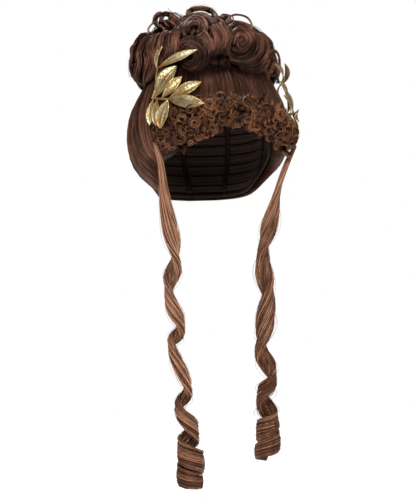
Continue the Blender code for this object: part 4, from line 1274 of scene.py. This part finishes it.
def crown_cover():
    """Tufts laid in sweeping arcs over the pad, so that none of it shows bare between the curls."""
    rng = np.random.default_rng(77)
    tubes = Tubes()
    tufts, each, n = 104, 6, 12
    s = np.linspace(0, 1, n)
    for _ in range(tufts):
        azimuth, rise = rng.uniform(0, 360), degrees(np.arcsin(rng.uniform(0.16, 0.998)))
        first, sweep, radius = rng.uniform(0, TAU), rng.choice([-1, 1]) * rng.uniform(1.1, 2.3), rng.uniform(0.012, 0.026)
        tone, lay = rng.uniform(0.40, 0.72), rng.uniform(0.0066, 0.0092)
        paths, normals = [], []
        for _ in range(each):
            angle = first + sweep * (s + rng.normal(0, 0.04))
            r = radius + rng.uniform(-0.0034, 0.0034) * (1 - 0.3 * s)
            sink = lay + rng.uniform(-0.0010, 0.0008) + 0.0030 * (2 * s - 1) ** 4
            path, normal = bun_curve(azimuth, rise, r * np.cos(angle), r * np.sin(angle), sink)
            paths.append(path)
            normals.append(normal)
        end = np.minimum(1, np.minimum(0.4 + s / 0.1, 0.3 + (1 - s) / 0.15))
        width = rng.uniform(0.00050, 0.00074, (each, 1)) * end[None]
        tubes.add(np.array(paths), np.array(normals), width, 0.62, np.clip(rng.normal(tone, 0.16, each), 0, 1))
    return keep(tubes.build("crown_cover", [STRANDS["crown"], PAINTED_SHADE_BODY["crown"]]), "hair")


crown_cover()


def bun_base():
    """The pad under the curls: a closed lumpy dome on the swept hair, near-black as painted shade between the curls."""
    bm = bmesh.new()
    bmesh.ops.create_uvsphere(bm, u_segments=72, v_segments=36, radius=1)
    rng = np.random.default_rng(9)
    for vert in bm.verts:
        d = vert.co.normalized()
        rise = degrees(np.arcsin(max(-1, min(1, d.z))))
        azimuth = degrees(atan2(d.x, -d.y)) if abs(d.z) < 0.9999 else 0.0
        if rise > -14:
            p, _ = on_bun(bun_point(azimuth, rise)[None], np.array([0.0125 + 0.0012 * sin(azimuth * 0.21) * sin(rise * 0.3)]))
            p = p[0]
        else:
            edge, _ = on_bun(bun_point(azimuth, -14)[None], np.array([0.0125]))
            edge = edge[0]
            share = max(0.0, (90 + rise) / 76)
            flat = BUN_CENTRE[:2] + (edge[:2] - BUN_CENTRE[:2]) * share
            p = np.array([flat[0], flat[1], 0.012 + (edge[2] - 0.012) * share**4])
        vert.co = p
    uv = bm.loops.layers.uv.new("OFBake")
    for face in bm.faces:
        for loop in face.loops:
            c = loop.vert.co
            loop[uv].uv = (0.5 + c.x * 4.6, 0.5 + (c.y - BUN_BACK) * 4.6)
    mesh = bpy.data.meshes.new("crown_base")
    bm.to_mesh(mesh)
    bm.free()
    mesh.shade_smooth()
    mesh.materials.append(PAINTED_SHADE_CORE)
    made = bpy.data.objects.new("crown_base", mesh)
    scene.collection.objects.link(made)
    return made


keep(bun_base(), "hair", "bun_pad")


# ---- fringe -------------------------------------------------------------------------------------------
PINNED = (  # azimuth, level, outer radius, hand, start angle, CAD node or None
    (4.5, -0.0425, 0.0112, -1, 60, "fringe_curl_01"),
    (27.0, -0.0555, 0.0100, 1, 120, "fringe_curl_02"),
    (-9.0, -0.0445, 0.0080, 1, 200, "fringe_curl_03"),
    (-20.5, -0.0460, 0.0080, -1, 0, "fringe_curl_04"),
    (-38.0, -0.0850, 0.0098, 1, 90, "fringe_curl_05"),
    (-29.0, -0.0680, 0.0090, -1, 300, "fringe_curl_06"),
    (33.5, -0.0790, 0.0090, -1, 150, "fringe_curl_07"),
    (-17.3, -0.0660, 0.0092, 1, 20, None),
    (5.8, -0.0610, 0.0086, 1, 10, None),
    (-31.5, -0.0530, 0.0078, 1, 280, None),
    (22.5, -0.0750, 0.0080, 1, 90, None),
    (41.0, -0.0870, 0.0078, 1, 330, None),
    (-46.0, -0.0780, 0.0076, 1, 240, None),
)


def fringe_surface(azimuth, level):
    top, bottom, thick = fringe_edges(azimuth)
    share = np.clip((level - (top + bottom) / 2) / ((top - bottom) / 2), -0.999, 0.999)
    return hair_at(azimuth, level, 0.0012 + thick * np.sin(np.arccos(share)) ** 0.7)


def fringe_frames(azimuth, level):
    """(points on the fringe, outward normals, sideways, upwards)"""
    e = 0.0015
    ahead = fringe_surface(azimuth + 1.5, level) - fringe_surface(azimuth - 1.5, level)
    above = fringe_surface(azimuth, level + e) - fringe_surface(azimuth, level - e)
    smooth = hair_at(azimuth, level + 0.008) - hair_at(azimuth, level - 0.008)
    above = unit(above) + 1.4 * unit(smooth)
    normal = unit(np.cross(ahead, above))
    up = np.array([0, 0, 1.0])
    up = unit(up - normal * (up * normal).sum(axis=-1, keepdims=True))
    return fringe_surface(azimuth, level), normal, np.cross(up, normal), up


def fringe_frame(azimuth, level):
    return tuple(row[0] for row in fringe_frames(np.array([float(azimuth)]), np.array([float(level)])))


def ring_curl(tubes, rng, azimuth, level, radius, hand, start, sunk, lean, count, n=18, turns=(1.9, 2.4), shade=0.58, broad=0.18):
    point, normal, side, up = fringe_frame(azimuth, level)
    axis = unit(normal + side * lean[0] + up * lean[1])
    x_way = unit(np.cross(up, axis))
    y_way = np.cross(axis, x_way)
    s = np.linspace(0, 1, n)
    turns = rng.uniform(*turns)
    angle = radians(start) + hand * TAU * turns * s
    band = broad * radius
    r = (radius - band) + (rng.uniform(0.20, 0.32) * radius - (radius - band)) * s**1.1
    depth = -sunk - 0.0050 * np.clip((0.18 - s) / 0.18, 0, 1) - rng.uniform(0.001, 0.005) * s**1.6
    oval = rng.uniform(0.78, 1.0)
    r = r * (1 + 0.05 * np.sin(TAU * (s * rng.uniform(1.0, 2.5) + rng.uniform(0, 1))))
    path = point + x_way * (r * np.cos(angle))[:, None] + y_way * (r * oval * np.sin(angle))[:, None]
    path = path + axis * depth[:, None]
    lock(
        tubes,
        rng,
        path,
        np.broadcast_to(axis, path.shape),
        band,
        0.0026,
        count,
        tint=shade + rng.uniform(-0.12, 0.12),
        strand=0.00040,
        taper=(0.5, 0.45),
        twist=1.0,
        stray=0.10,
        sides=6,
        faces=(-0.6, pi + 0.6),
        spread=0.25,
        painted_depth_shade=0.8,
    )


def fringe_foot(azimuth, bottom):
    """The loose curls hang lower than the band in the middle."""
    return bottom - 0.002 - 0.0085 * np.clip((36 - np.abs(azimuth - 1)) / 10, 0, 1)


def fringe():
    rng = np.random.default_rng(21)
    pinned = Tubes()
    for azimuth, level, radius, hand, start, _ in PINNED:
        ring_curl(pinned, rng, azimuth, level, radius, hand, start, -0.0016, (0, 0), 26, 26, shade=0.52)
    placed = [np.array([a, z * 600]) for a, z, *_ in PINNED]
    loose = Tubes()
    made = 0
    for _ in range(4000):
        azimuth = rng.uniform(-55, 55)
        top, bottom, thick = fringe_edges(azimuth)
        level = rng.uniform(fringe_foot(azimuth, bottom) - 0.001, top + 0.001)
        at = np.array([azimuth, level * 600])
        if min(np.linalg.norm(at - p) for p in placed) < 3.2:
            continue
        placed.append(at)
        ring_curl(
            loose,
            rng,
            azimuth,
            level,
            rng.uniform(0.0050, 0.0092),
            rng.choice([-1, 1]),
            rng.uniform(0, 360),
            rng.uniform(0.0010, 0.0050),
            rng.normal(0, 1.1, 2),
            8,
            17,
            (1.0, 1.9),
            0.56 - 0.06 * (azimuth < -30),
            0.26,
        )
        made += 1
        if made >= 86:
            break
    # frizz: short bent strands, in tufts that share a bend
    for tufts, each, reach, tone, thick in ((165, 7, 0.0000, 0.58, 0.00038), (70, 5, 0.0026, 0.72, 0.00026)):
        count, n = tufts * each, 9
        azimuth, pick = (np.repeat(rng.uniform(*span, tufts), each) for span in ((-54, 54), (0, 1)))
        top, bottom, _ = fringe_edges(azimuth)
        foot = fringe_foot(azimuth, bottom)
        centre, normal, side, up = fringe_frames(azimuth, foot + (top + 0.002 - foot) * pick)
        go = np.linspace(0, 1, n)[None]
        first, bend, size = (np.repeat(rng.uniform(*span, tufts), each)[:, None] for span in ((0, TAU), (2.2, 5.6), (0.0030, 0.0072)))
        hand = np.repeat(rng.choice([-1, 1], tufts), each)[:, None]
        turn = first + rng.normal(0, 0.25, (count, 1)) + hand * go * bend
        radius = size * rng.uniform(0.72, 1.18, (count, 1)) * (1 - 0.35 * go)
        out = rng.uniform(-0.0040, reach, (count, 1)) + 0.0018 * np.sin(turn * 0.7)
        curls = centre[:, None] + side[:, None] * (radius * np.cos(turn))[..., None]
        curls = curls + up[:, None] * (radius * np.sin(turn))[..., None] + normal[:, None] * out[..., None]
        tint = np.repeat(rng.normal(tone, 0.10, tufts), each) + rng.normal(0, 0.12, count) - 0.04 * np.clip((-28 - azimuth) / 8, 0, 1)
        loose.add(curls, np.broadcast_to(normal[:, None], curls.shape), thick * rng.uniform(0.8, 1.3, (count, 1)), 0.8, np.clip(tint, 0, 1))
    keep(pinned.build("fringe_pin_curls", [STRANDS["fringe"], PAINTED_SHADE_BODY["fringe"]]), "hair", *[row[5] for row in PINNED if row[5]])
    keep(loose.build("fringe_curls", [STRANDS["fringe"], PAINTED_SHADE_BODY["fringe"]]), "hair", "fringe_band")
    bm = bmesh.new()
    bmesh.ops.create_uvsphere(bm, u_segments=24, v_segments=60, radius=1)
    uv = bm.loops.layers.uv.new("OFBake")
    for face in bm.faces:
        for loop in face.loops:
            c = loop.vert.co
            loop[uv].uv = ((atan2(c.y, c.x) / TAU) % 1.0, acos(max(-1, min(1, c.z))) / pi)
    for vert in bm.verts:
        polar = acos(max(-1.0, min(1.0, vert.co.z)))
        turn = atan2(vert.co.y, vert.co.x) % TAU
        azimuth = -53 + 106 * polar / pi
        top, bottom, thick = fringe_edges(azimuth)
        end = min(1.0, sin(polar) * 2.5)
        level = (top + bottom) / 2 + (top - bottom) / 2 * cos(turn) * 0.94 * end
        height = thick * 0.52 * max(0, sin(turn)) ** 0.7 * end if turn < pi else 0
        vert.co = hair_at(azimuth, level, 0.0002 + height)
    mesh = bpy.data.meshes.new("fringe_base")
    bm.to_mesh(mesh)
    bm.free()
    mesh.shade_smooth()
    # Painted shade: the fringe's base is near-black under its curls.
    mesh.materials.append(PAINTED_SHADE_CORE)
    base = bpy.data.objects.new("fringe_base", mesh)
    scene.collection.objects.link(base)
    keep(base, "hair")


fringe()


# ---- side ringlets ------------------------------------------------------------------------------------
COILS = {  # level, coil radius, half width, half thickness, turns so far
    "ringlet_right": (
        (-0.0900, 0.0000, 0.0046, 0.0022, 0.000),
        (-0.1120, 0.0000, 0.0062, 0.0032, 0.040),
        (-0.1500, 0.0010, 0.0074, 0.0038, 0.110),
        (-0.2000, 0.0028, 0.0108, 0.0046, 0.250),
        (-0.2250, 0.0045, 0.0114, 0.0048, 0.430),
        (-0.2676, 0.0060, 0.0096, 0.0050, 0.944),
        (-0.3114, 0.0068, 0.0086, 0.0048, 1.444),
        (-0.3326, 0.0068, 0.0082, 0.0046, 1.944),
        (-0.3839, 0.0072, 0.0082, 0.0046, 2.444),
        (-0.4076, 0.0082, 0.0084, 0.0046, 2.944),
        (-0.4351, 0.0094, 0.0118, 0.0044, 3.444),
        (-0.4600, 0.0124, 0.0150, 0.0038, 4.060),
        (-0.4780, 0.0156, 0.0162, 0.0036, 4.700),
        (-0.4910, 0.0152, 0.0158, 0.0032, 5.150),
        (-0.4950, 0.0118, 0.0120, 0.0028, 5.520),
    ),
    "ringlet_left": (
        (-0.0900, 0.0000, 0.0050, 0.0022, 0.000),
        (-0.1120, 0.0000, 0.0072, 0.0034, -0.020),
        (-0.1500, 0.0010, 0.0094, 0.0042, -0.100),
        (-0.1900, 0.0030, 0.0116, 0.0050, -0.350),
        (-0.2150, 0.0045, 0.0120, 0.0052, -0.556),
        (-0.2776, 0.0056, 0.0118, 0.0056, -1.056),
        (-0.3351, 0.0066, 0.0112, 0.0052, -1.556),
        (-0.3764, 0.0074, 0.0110, 0.0048, -2.056),
        (-0.3989, 0.0082, 0.0116, 0.0046, -2.556),
        (-0.4300, 0.0100, 0.0150, 0.0042, -3.056),
        (-0.4430, 0.0122, 0.0168, 0.0038, -3.620),
        (-0.4580, 0.0138, 0.0164, 0.0036, -4.250),
        (-0.4740, 0.0180, 0.0120, 0.0030, -4.800),
    ),
}


HANG = {  # level, shift across the front view, mm
    "ringlet_right": ((-0.09, 0), (-0.15, 1.2), (-0.20, 2.6), (-0.27, 0.5), (-0.33, 0.3), (-0.38, 2.2), (-0.43, 3.6), (-0.51, 2.5)),
    "ringlet_left": ((-0.09, 0), (-0.15, -6.0), (-0.20, -8.0), (-0.24, -8.5), (-0.29, -7.0), (-0.35, -4.5), (-0.41, -6.0), (-0.49, -5.0)),
}


def ringlet(name, seed):
    rng = np.random.default_rng(seed)
    axis_rows, rows = RINGLETS[name], COILS[name]
    facing = 1 if axis_rows[0][1] > 0 else -1
    tubes = Tubes()

    def run(n, first, last, width, depth, coil_gain, lag, wander, count, **more):
        fine = np.linspace(first, last, 600)
        measure = np.abs(read(rows, fine, 4) - read(rows, first, 4)) + (first - fine) / 0.055
        level = np.interp(np.linspace(0, measure[-1], n), measure, fine)
        x, y = (read(axis_rows, np.maximum(level, axis_rows[-1][0]), k) for k in (1, 2))
        shift = 0.001 * read(HANG[name], level, 1)
        x, y = x + shift * VIEW_RIGHT[0], y + shift * VIEW_RIGHT[1]
        coil, hw, hd, turn = (read(rows, level, k) for k in range(1, 5))
        angle = TAU * (turn + lag) + (0 if facing > 0 else pi)
        ray = stack(np.cos(angle), np.sin(angle), 0 * angle)
        s = (first - level) / (first - last)
        sway = wander * np.stack(
            [np.sin(TAU * (s * rng.uniform(1.0, 3.0) + rng.uniform(0, 1))) for _ in range(2)] + [0 * s], axis=1
        )
        gain = coil_gain + (1 - coil_gain) * s**3
        path = stack(x, y, level) + ray * (coil * gain)[:, None] + sway * (np.minimum(1, 4 * s) * np.minimum(1, 4 - 4 * s))[:, None]
        tangent = unit(np.gradient(path, axis=0))
        deep = ray - tangent * (ray * tangent).sum(axis=1, keepdims=True)
        for _ in range(3):
            deep[1:-1] = deep[:-2] + 2 * deep[1:-1] + deep[2:]
            deep[1:-1] /= 4
        deep = unit(deep)
        tone = 0.76 - 0.28 * s
        lock(tubes, rng, path, deep, hw * width, hd * depth, count, tint=tone[None, :], twist=0.8, painted_depth_shade=0.40, **more)

    tip = rows[-1][0]
    split = 1.0 if facing > 0 else 0.0
    run(88, -0.090, tip, 0.96 - 0.04 * split, 1.0, 1.0, 0.0, 0.0, 80, strand=0.00050, taper=(0.7, 0.42), stray=0.06, spread=0.3)
    run(70, -0.120, tip + 0.006, 0.46, 0.6, 1.12 + 0.5 * split, 0.05 + 0.05 * split, 0.0012 + 0.0018 * split, 17, strand=0.00042, taper=(0.3, 0.05), spread=0.5)
    run(70, -0.130, tip + 0.012, 0.42, 0.6, 0.80, -0.06 - 0.10 * split, 0.0014 + 0.0022 * split, 15, strand=0.00042, taper=(0.3, 0.05), spread=0.5)
    if split:
        run(62, -0.110, -0.396, 0.32, 0.6, 2.1, 0.14, 0.0034, 12, strand=0.00042, taper=(0.3, 0.05), spread=0.6)
    for k in range(3):
        end = rng.uniform(-0.36, -0.25)
        run(36, -0.110, end, 0.18, 0.4, rng.uniform(0.85, 1.1), rng.uniform(-0.05, 0.05), 0.0012, 3, strand=0.00020,
            taper=(0.3, 0.02), spread=0.9, core=False, stray=0.0)
    return keep(tubes.build(name + "_hair", [STRANDS["ringlet"], PAINTED_SHADE_BODY["ringlet"]]), "hair", name)


ringlet("ringlet_right", 31)
ringlet("ringlet_left", 32)


# ---- leaf sprays --------------------------------------------------------------------------------------
def outermost(azimuth, level):
    hair = hair_at(azimuth, level)
    flat = hair[:2]
    reach = base_reach = float(np.linalg.norm(flat))
    ray = flat / reach
    d = level - BUN_LEVEL
    height = BUN_RISE if d > 0 else BUN_DROP
    ring = BUN_RADIUS * max(0.0, 1 - (abs(d) / height) ** BUN_SQUARE) ** (1 / BUN_SQUARE)
    inside = ring**2 - (BUN_BACK * ray[0]) ** 2
    if inside > 0:
        reach = max(reach, BUN_BACK * ray[1] + sqrt(inside))
    top, bottom, thick = fringe_edges(azimuth)
    across = (level - (top + bottom) / 2) / ((top - bottom) / 2)
    if abs(azimuth) < 52 and abs(across) < 1:
        reach = max(reach, base_reach + 0.0012 + thick * 1.1 * (1 - across**2) ** 0.35)
    return Vector((ray[0] * reach, ray[1] * reach, level))


def spray_point(azimuth, level, standoff, mirror):
    left = mirror < 0
    azimuth -= LEFT_SPRAY_TURN if left else 0
    point = outermost(azimuth, level - (LEFT_SPRAY_DROP if left else 0))
    point += Vector((point.x, point.y, 0)).normalized() * standoff
    return Vector((point.x * mirror, point.y, point.z))


def on_stem(stem, place, mirror):
    points = [spray_point(*row, mirror) for row in STEMS[stem]]
    i = min(int(place), len(points) - 2)
    return points[i].lerp(points[i + 1], place - i)


def leaf(bm, uv, row, mirror, cell):
    """A pressed leaf: a domed blade with a raised midrib, side veins and a beaded edge."""
    _, stem, place, tip_azimuth, tip_level, half_width, tip_lift, bow, roll = row
    base = on_stem(stem, place, mirror)
    tip = spray_point(tip_azimuth, tip_level, tip_lift, mirror)
    out = Vector((base.x + tip.x, base.y + tip.y, 0)).normalized()
    rows_n, cols = 38, 14
    along_all = [base.lerp(tip, i / rows_n) + out * (bow * 4 * (i / rows_n) * (1 - i / rows_n)) for i in range(rows_n + 1)]
    top, under = [], []
    for i, middle in enumerate(along_all):
        s = i / rows_n
        before, after = along_all[max(i - 1, 0)], along_all[min(i + 1, rows_n)]
        along = (after - before).normalized()
        outward = Vector((middle.x, middle.y, 0)).normalized()
        side = along.cross(outward).normalized() * mirror
        outward = side.cross(along) * mirror
        twist = radians(roll) * 0.6 * (0.4 + 0.6 * s)
        side, outward = (
            side * cos(twist) + outward * sin(twist),
            (outward * cos(twist) - side * sin(twist)),
        )
        half = max(0.0008, half_width * 1.22 * sin(pi * min(1.0, s) ** 1.22) ** 0.88) if s < 0.999 else 0.0003
        upper, lower = [], []
        for c in range(cols + 1):
            u = 2 * c / cols - 1
            rib = 0.0008 * max(0.0, 1 - abs(u) / 0.13) * (1 - s * 0.6)
            vein_phase = (s * 9.5 + abs(u) * 1.15) % 1.0
            vein = 0.00045 * max(0.0, 1 - abs(vein_phase - 0.5) / 0.22) * min(1.0, (1 - abs(u)) * 6) * min(1.0, abs(u) * 7)
            bead = 0.0006 * max(0.0, 1 - abs(abs(u) - 0.93) / 0.08)
            shape = abs(u) ** 1.6 * half * 0.30
            lift = rib + vein + bead + shape
            p = middle + side * (half * u) + outward * lift
            upper.append(bm.verts.new(p + outward * 0.00035))
            lower.append(bm.verts.new(p - outward * 0.00035 - outward * (rib + vein + bead) * 0.5))
            for vert in (upper[-1], lower[-1]):
                vert[bm.verts.layers.float_vector["blade"]] = (u, s, 0)
        top.append(upper)
        under.append(lower)
    ox, oy, size = cell

    def face(verts, coords):
        made = bm.faces.new(verts)
        for loop, (a, b) in zip(made.loops, coords):
            loop[uv].uv = (ox + size * (0.03 + 0.94 * a), oy + size * (0.03 + 0.94 * b))

    for i in range(rows_n):
        for c in range(cols):
            a0, a1, b0, b1 = c / cols / 2, (c + 1) / cols / 2, i / rows_n, (i + 1) / rows_n
            face(
                (top[i][c], top[i][c + 1], top[i + 1][c + 1], top[i + 1][c]),
                ((a0, b0), (a1, b0), (a1, b1), (a0, b1)),
            )
            face(
                (under[i][c], under[i + 1][c], under[i + 1][c + 1], under[i][c + 1]),
                ((a0 + 0.5, b0), (a0 + 0.5, b1), (a1 + 0.5, b1), (a1 + 0.5, b0)),
            )
        for c in (0, cols):
            face(
                (top[i][c], top[i + 1][c], under[i + 1][c], under[i][c]),
                ((0, i / rows_n), (0, (i + 1) / rows_n), (0.002, (i + 1) / rows_n), (0.002, i / rows_n)),
            )
    for i in (0, rows_n):
        for c in range(cols):
            face((top[i][c], top[i][c + 1], under[i][c + 1], under[i][c]), ((0, 0), (0.01, 0), (0.01, 0.002), (0, 0.002)))


def spray(name, mirror):
    bm = bmesh.new()
    uv = bm.loops.layers.uv.new("OFBake")
    bm.verts.layers.float_vector.new("blade")
    for number, row in enumerate(LEAVES):
        leaf(bm, uv, row, mirror, ((number % 4) * 0.25, (number // 4) * 0.25, 0.25))
    for number in range(len(STEMS)):
        line = resample([tuple(spray_point(*row, mirror)) for row in STEMS[number]], 30)
        tangent = unit(np.gradient(line, axis=0))
        out = unit(line * np.array([1, 1, 0]))
        side = unit(np.cross(tangent, out))
        rings = []
        for k in range(30):
            r = 0.0012 * (1 + 0.10 * sin(k * 1.9)) * (1.0 if k < 24 else 1 - 0.09 * (k - 23))
            rings.append(
                [
                    bm.verts.new(line[k] + side[k] * r * cos(TAU * j / 10) + out[k] * r * sin(TAU * j / 10))
                    for j in range(10)
                ]
            )
        for k in range(29):
            for j in range(10):
                made = bm.faces.new((rings[k][j], rings[k][(j + 1) % 10], rings[k + 1][(j + 1) % 10], rings[k + 1][j]))
                for loop, (a, b) in zip(made.loops, ((j, k), (j + 1, k), (j + 1, k + 1), (j, k + 1))):
                    loop[uv].uv = (0.3 + 0.3 * number + 0.02 * a, 0.8 + 0.0065 * b)
        for ring in (rings[0], rings[-1][::-1]):
            made = bm.faces.new(ring)
            for loop, k in zip(made.loops, range(10)):
                loop[uv].uv = (0.9 + 0.02 * cos(k), 0.9 + 0.02 * sin(k))
    bmesh.ops.recalc_face_normals(bm, faces=bm.faces)
    mesh = bpy.data.meshes.new(name + "_gold")
    bm.to_mesh(mesh)
    bm.free()
    mesh.shade_smooth()
    mesh.materials.append(GOLD)
    made = bpy.data.objects.new(name + "_gold", mesh)
    scene.collection.objects.link(made)
    return keep(made, "gold_leaf", name)


spray("leaf_spray_right", 1)
spray("leaf_spray_left", -1)

# ---- studio -------------------------------------------------------------------------------------------
AZ = radians(-20)
right = Vector((cos(AZ), sin(AZ), 0))
back = Vector((sin(AZ), -cos(AZ), 0))
target = Vector((0, 0, -0.217)) - right * 0.00125
camera_data = bpy.data.cameras.new("camera")
camera_data.sensor_width = 36
camera_data.lens = 1760 / 497 * 36
camera = bpy.data.objects.new("camera", camera_data)
camera.location = target + back * 2.2
camera.rotation_mode = "QUATERNION"
camera.rotation_quaternion = (-back).to_track_quat("-Z", "Y")
scene.collection.objects.link(camera)
scene.camera = camera

bm = bmesh.new()
bmesh.ops.create_circle(bm, cap_ends=True, cap_tris=False, segments=96, radius=1.1)
mesh = bpy.data.meshes.new("floor")
bm.to_mesh(mesh)
bm.free()
floor = bpy.data.objects.new("floor", mesh)
floor.location = (0, 0, -0.530)
scene.collection.objects.link(floor)
made, tree, shader, node = nodes_of("studio_floor")
place = node("ShaderNodeTexCoord")
noise = node("ShaderNodeTexNoise")
noise.inputs["Scale"].default_value = 3
tree.links.new(place.outputs["Object"], noise.inputs["Vector"])
shades = ramp(node, (0.3, (0.80, 0.80, 0.80)), (0.7, (0.83, 0.83, 0.83)))
tree.links.new(noise.outputs["Fac"], shades.inputs["Fac"])
tree.links.new(shades.outputs["Color"], shader.inputs["Base Color"])
shader.inputs["Roughness"].default_value = 0.9
shader.inputs["Emission Color"].default_value = (1, 1, 1, 1)
shader.inputs["Emission Strength"].default_value = 0.72
mesh.materials.append(made)

world = bpy.data.worlds.new("studio")
world.use_nodes = True
tree = world.node_tree
paths = tree.nodes.new("ShaderNodeLightPath")
level = tree.nodes.new("ShaderNodeMapRange")
level.inputs["To Min"].default_value = 0.13
level.inputs["To Max"].default_value = 1.0
tree.links.new(paths.outputs["Is Camera Ray"], level.inputs["Value"])
tree.nodes["Background"].inputs["Color"].default_value = (1, 1, 1, 1)
tree.links.new(level.outputs["Result"], tree.nodes["Background"].inputs["Strength"])
scene.world = world


def area(name, where, aim, size, power, colour=(1, 1, 1)):
    data = bpy.data.lights.new(name, "AREA")
    data.shape = "RECTANGLE"
    data.size, data.size_y = size
    data.energy = power
    data.color = colour
    light = bpy.data.objects.new(name, data)
    light.location = where
    light.rotation_mode = "QUATERNION"
    light.rotation_quaternion = (Vector(aim) - Vector(where)).to_track_quat("-Z", "Y")
    scene.collection.objects.link(light)


area("key", (-1.15, -1.95, 0.95), (0, 0, -0.05), (0.55, 0.55), 46)
area("fill", (1.3, -1.7, 0.45), (0, 0, -0.2), (0.5, 1.0), 12)
area("top", (0.1, 0.2, 1.5), (0, 0, 0), (0.5, 0.5), 21)
scene.view_settings.view_transform = "Standard"
scene.view_settings.look = "None"
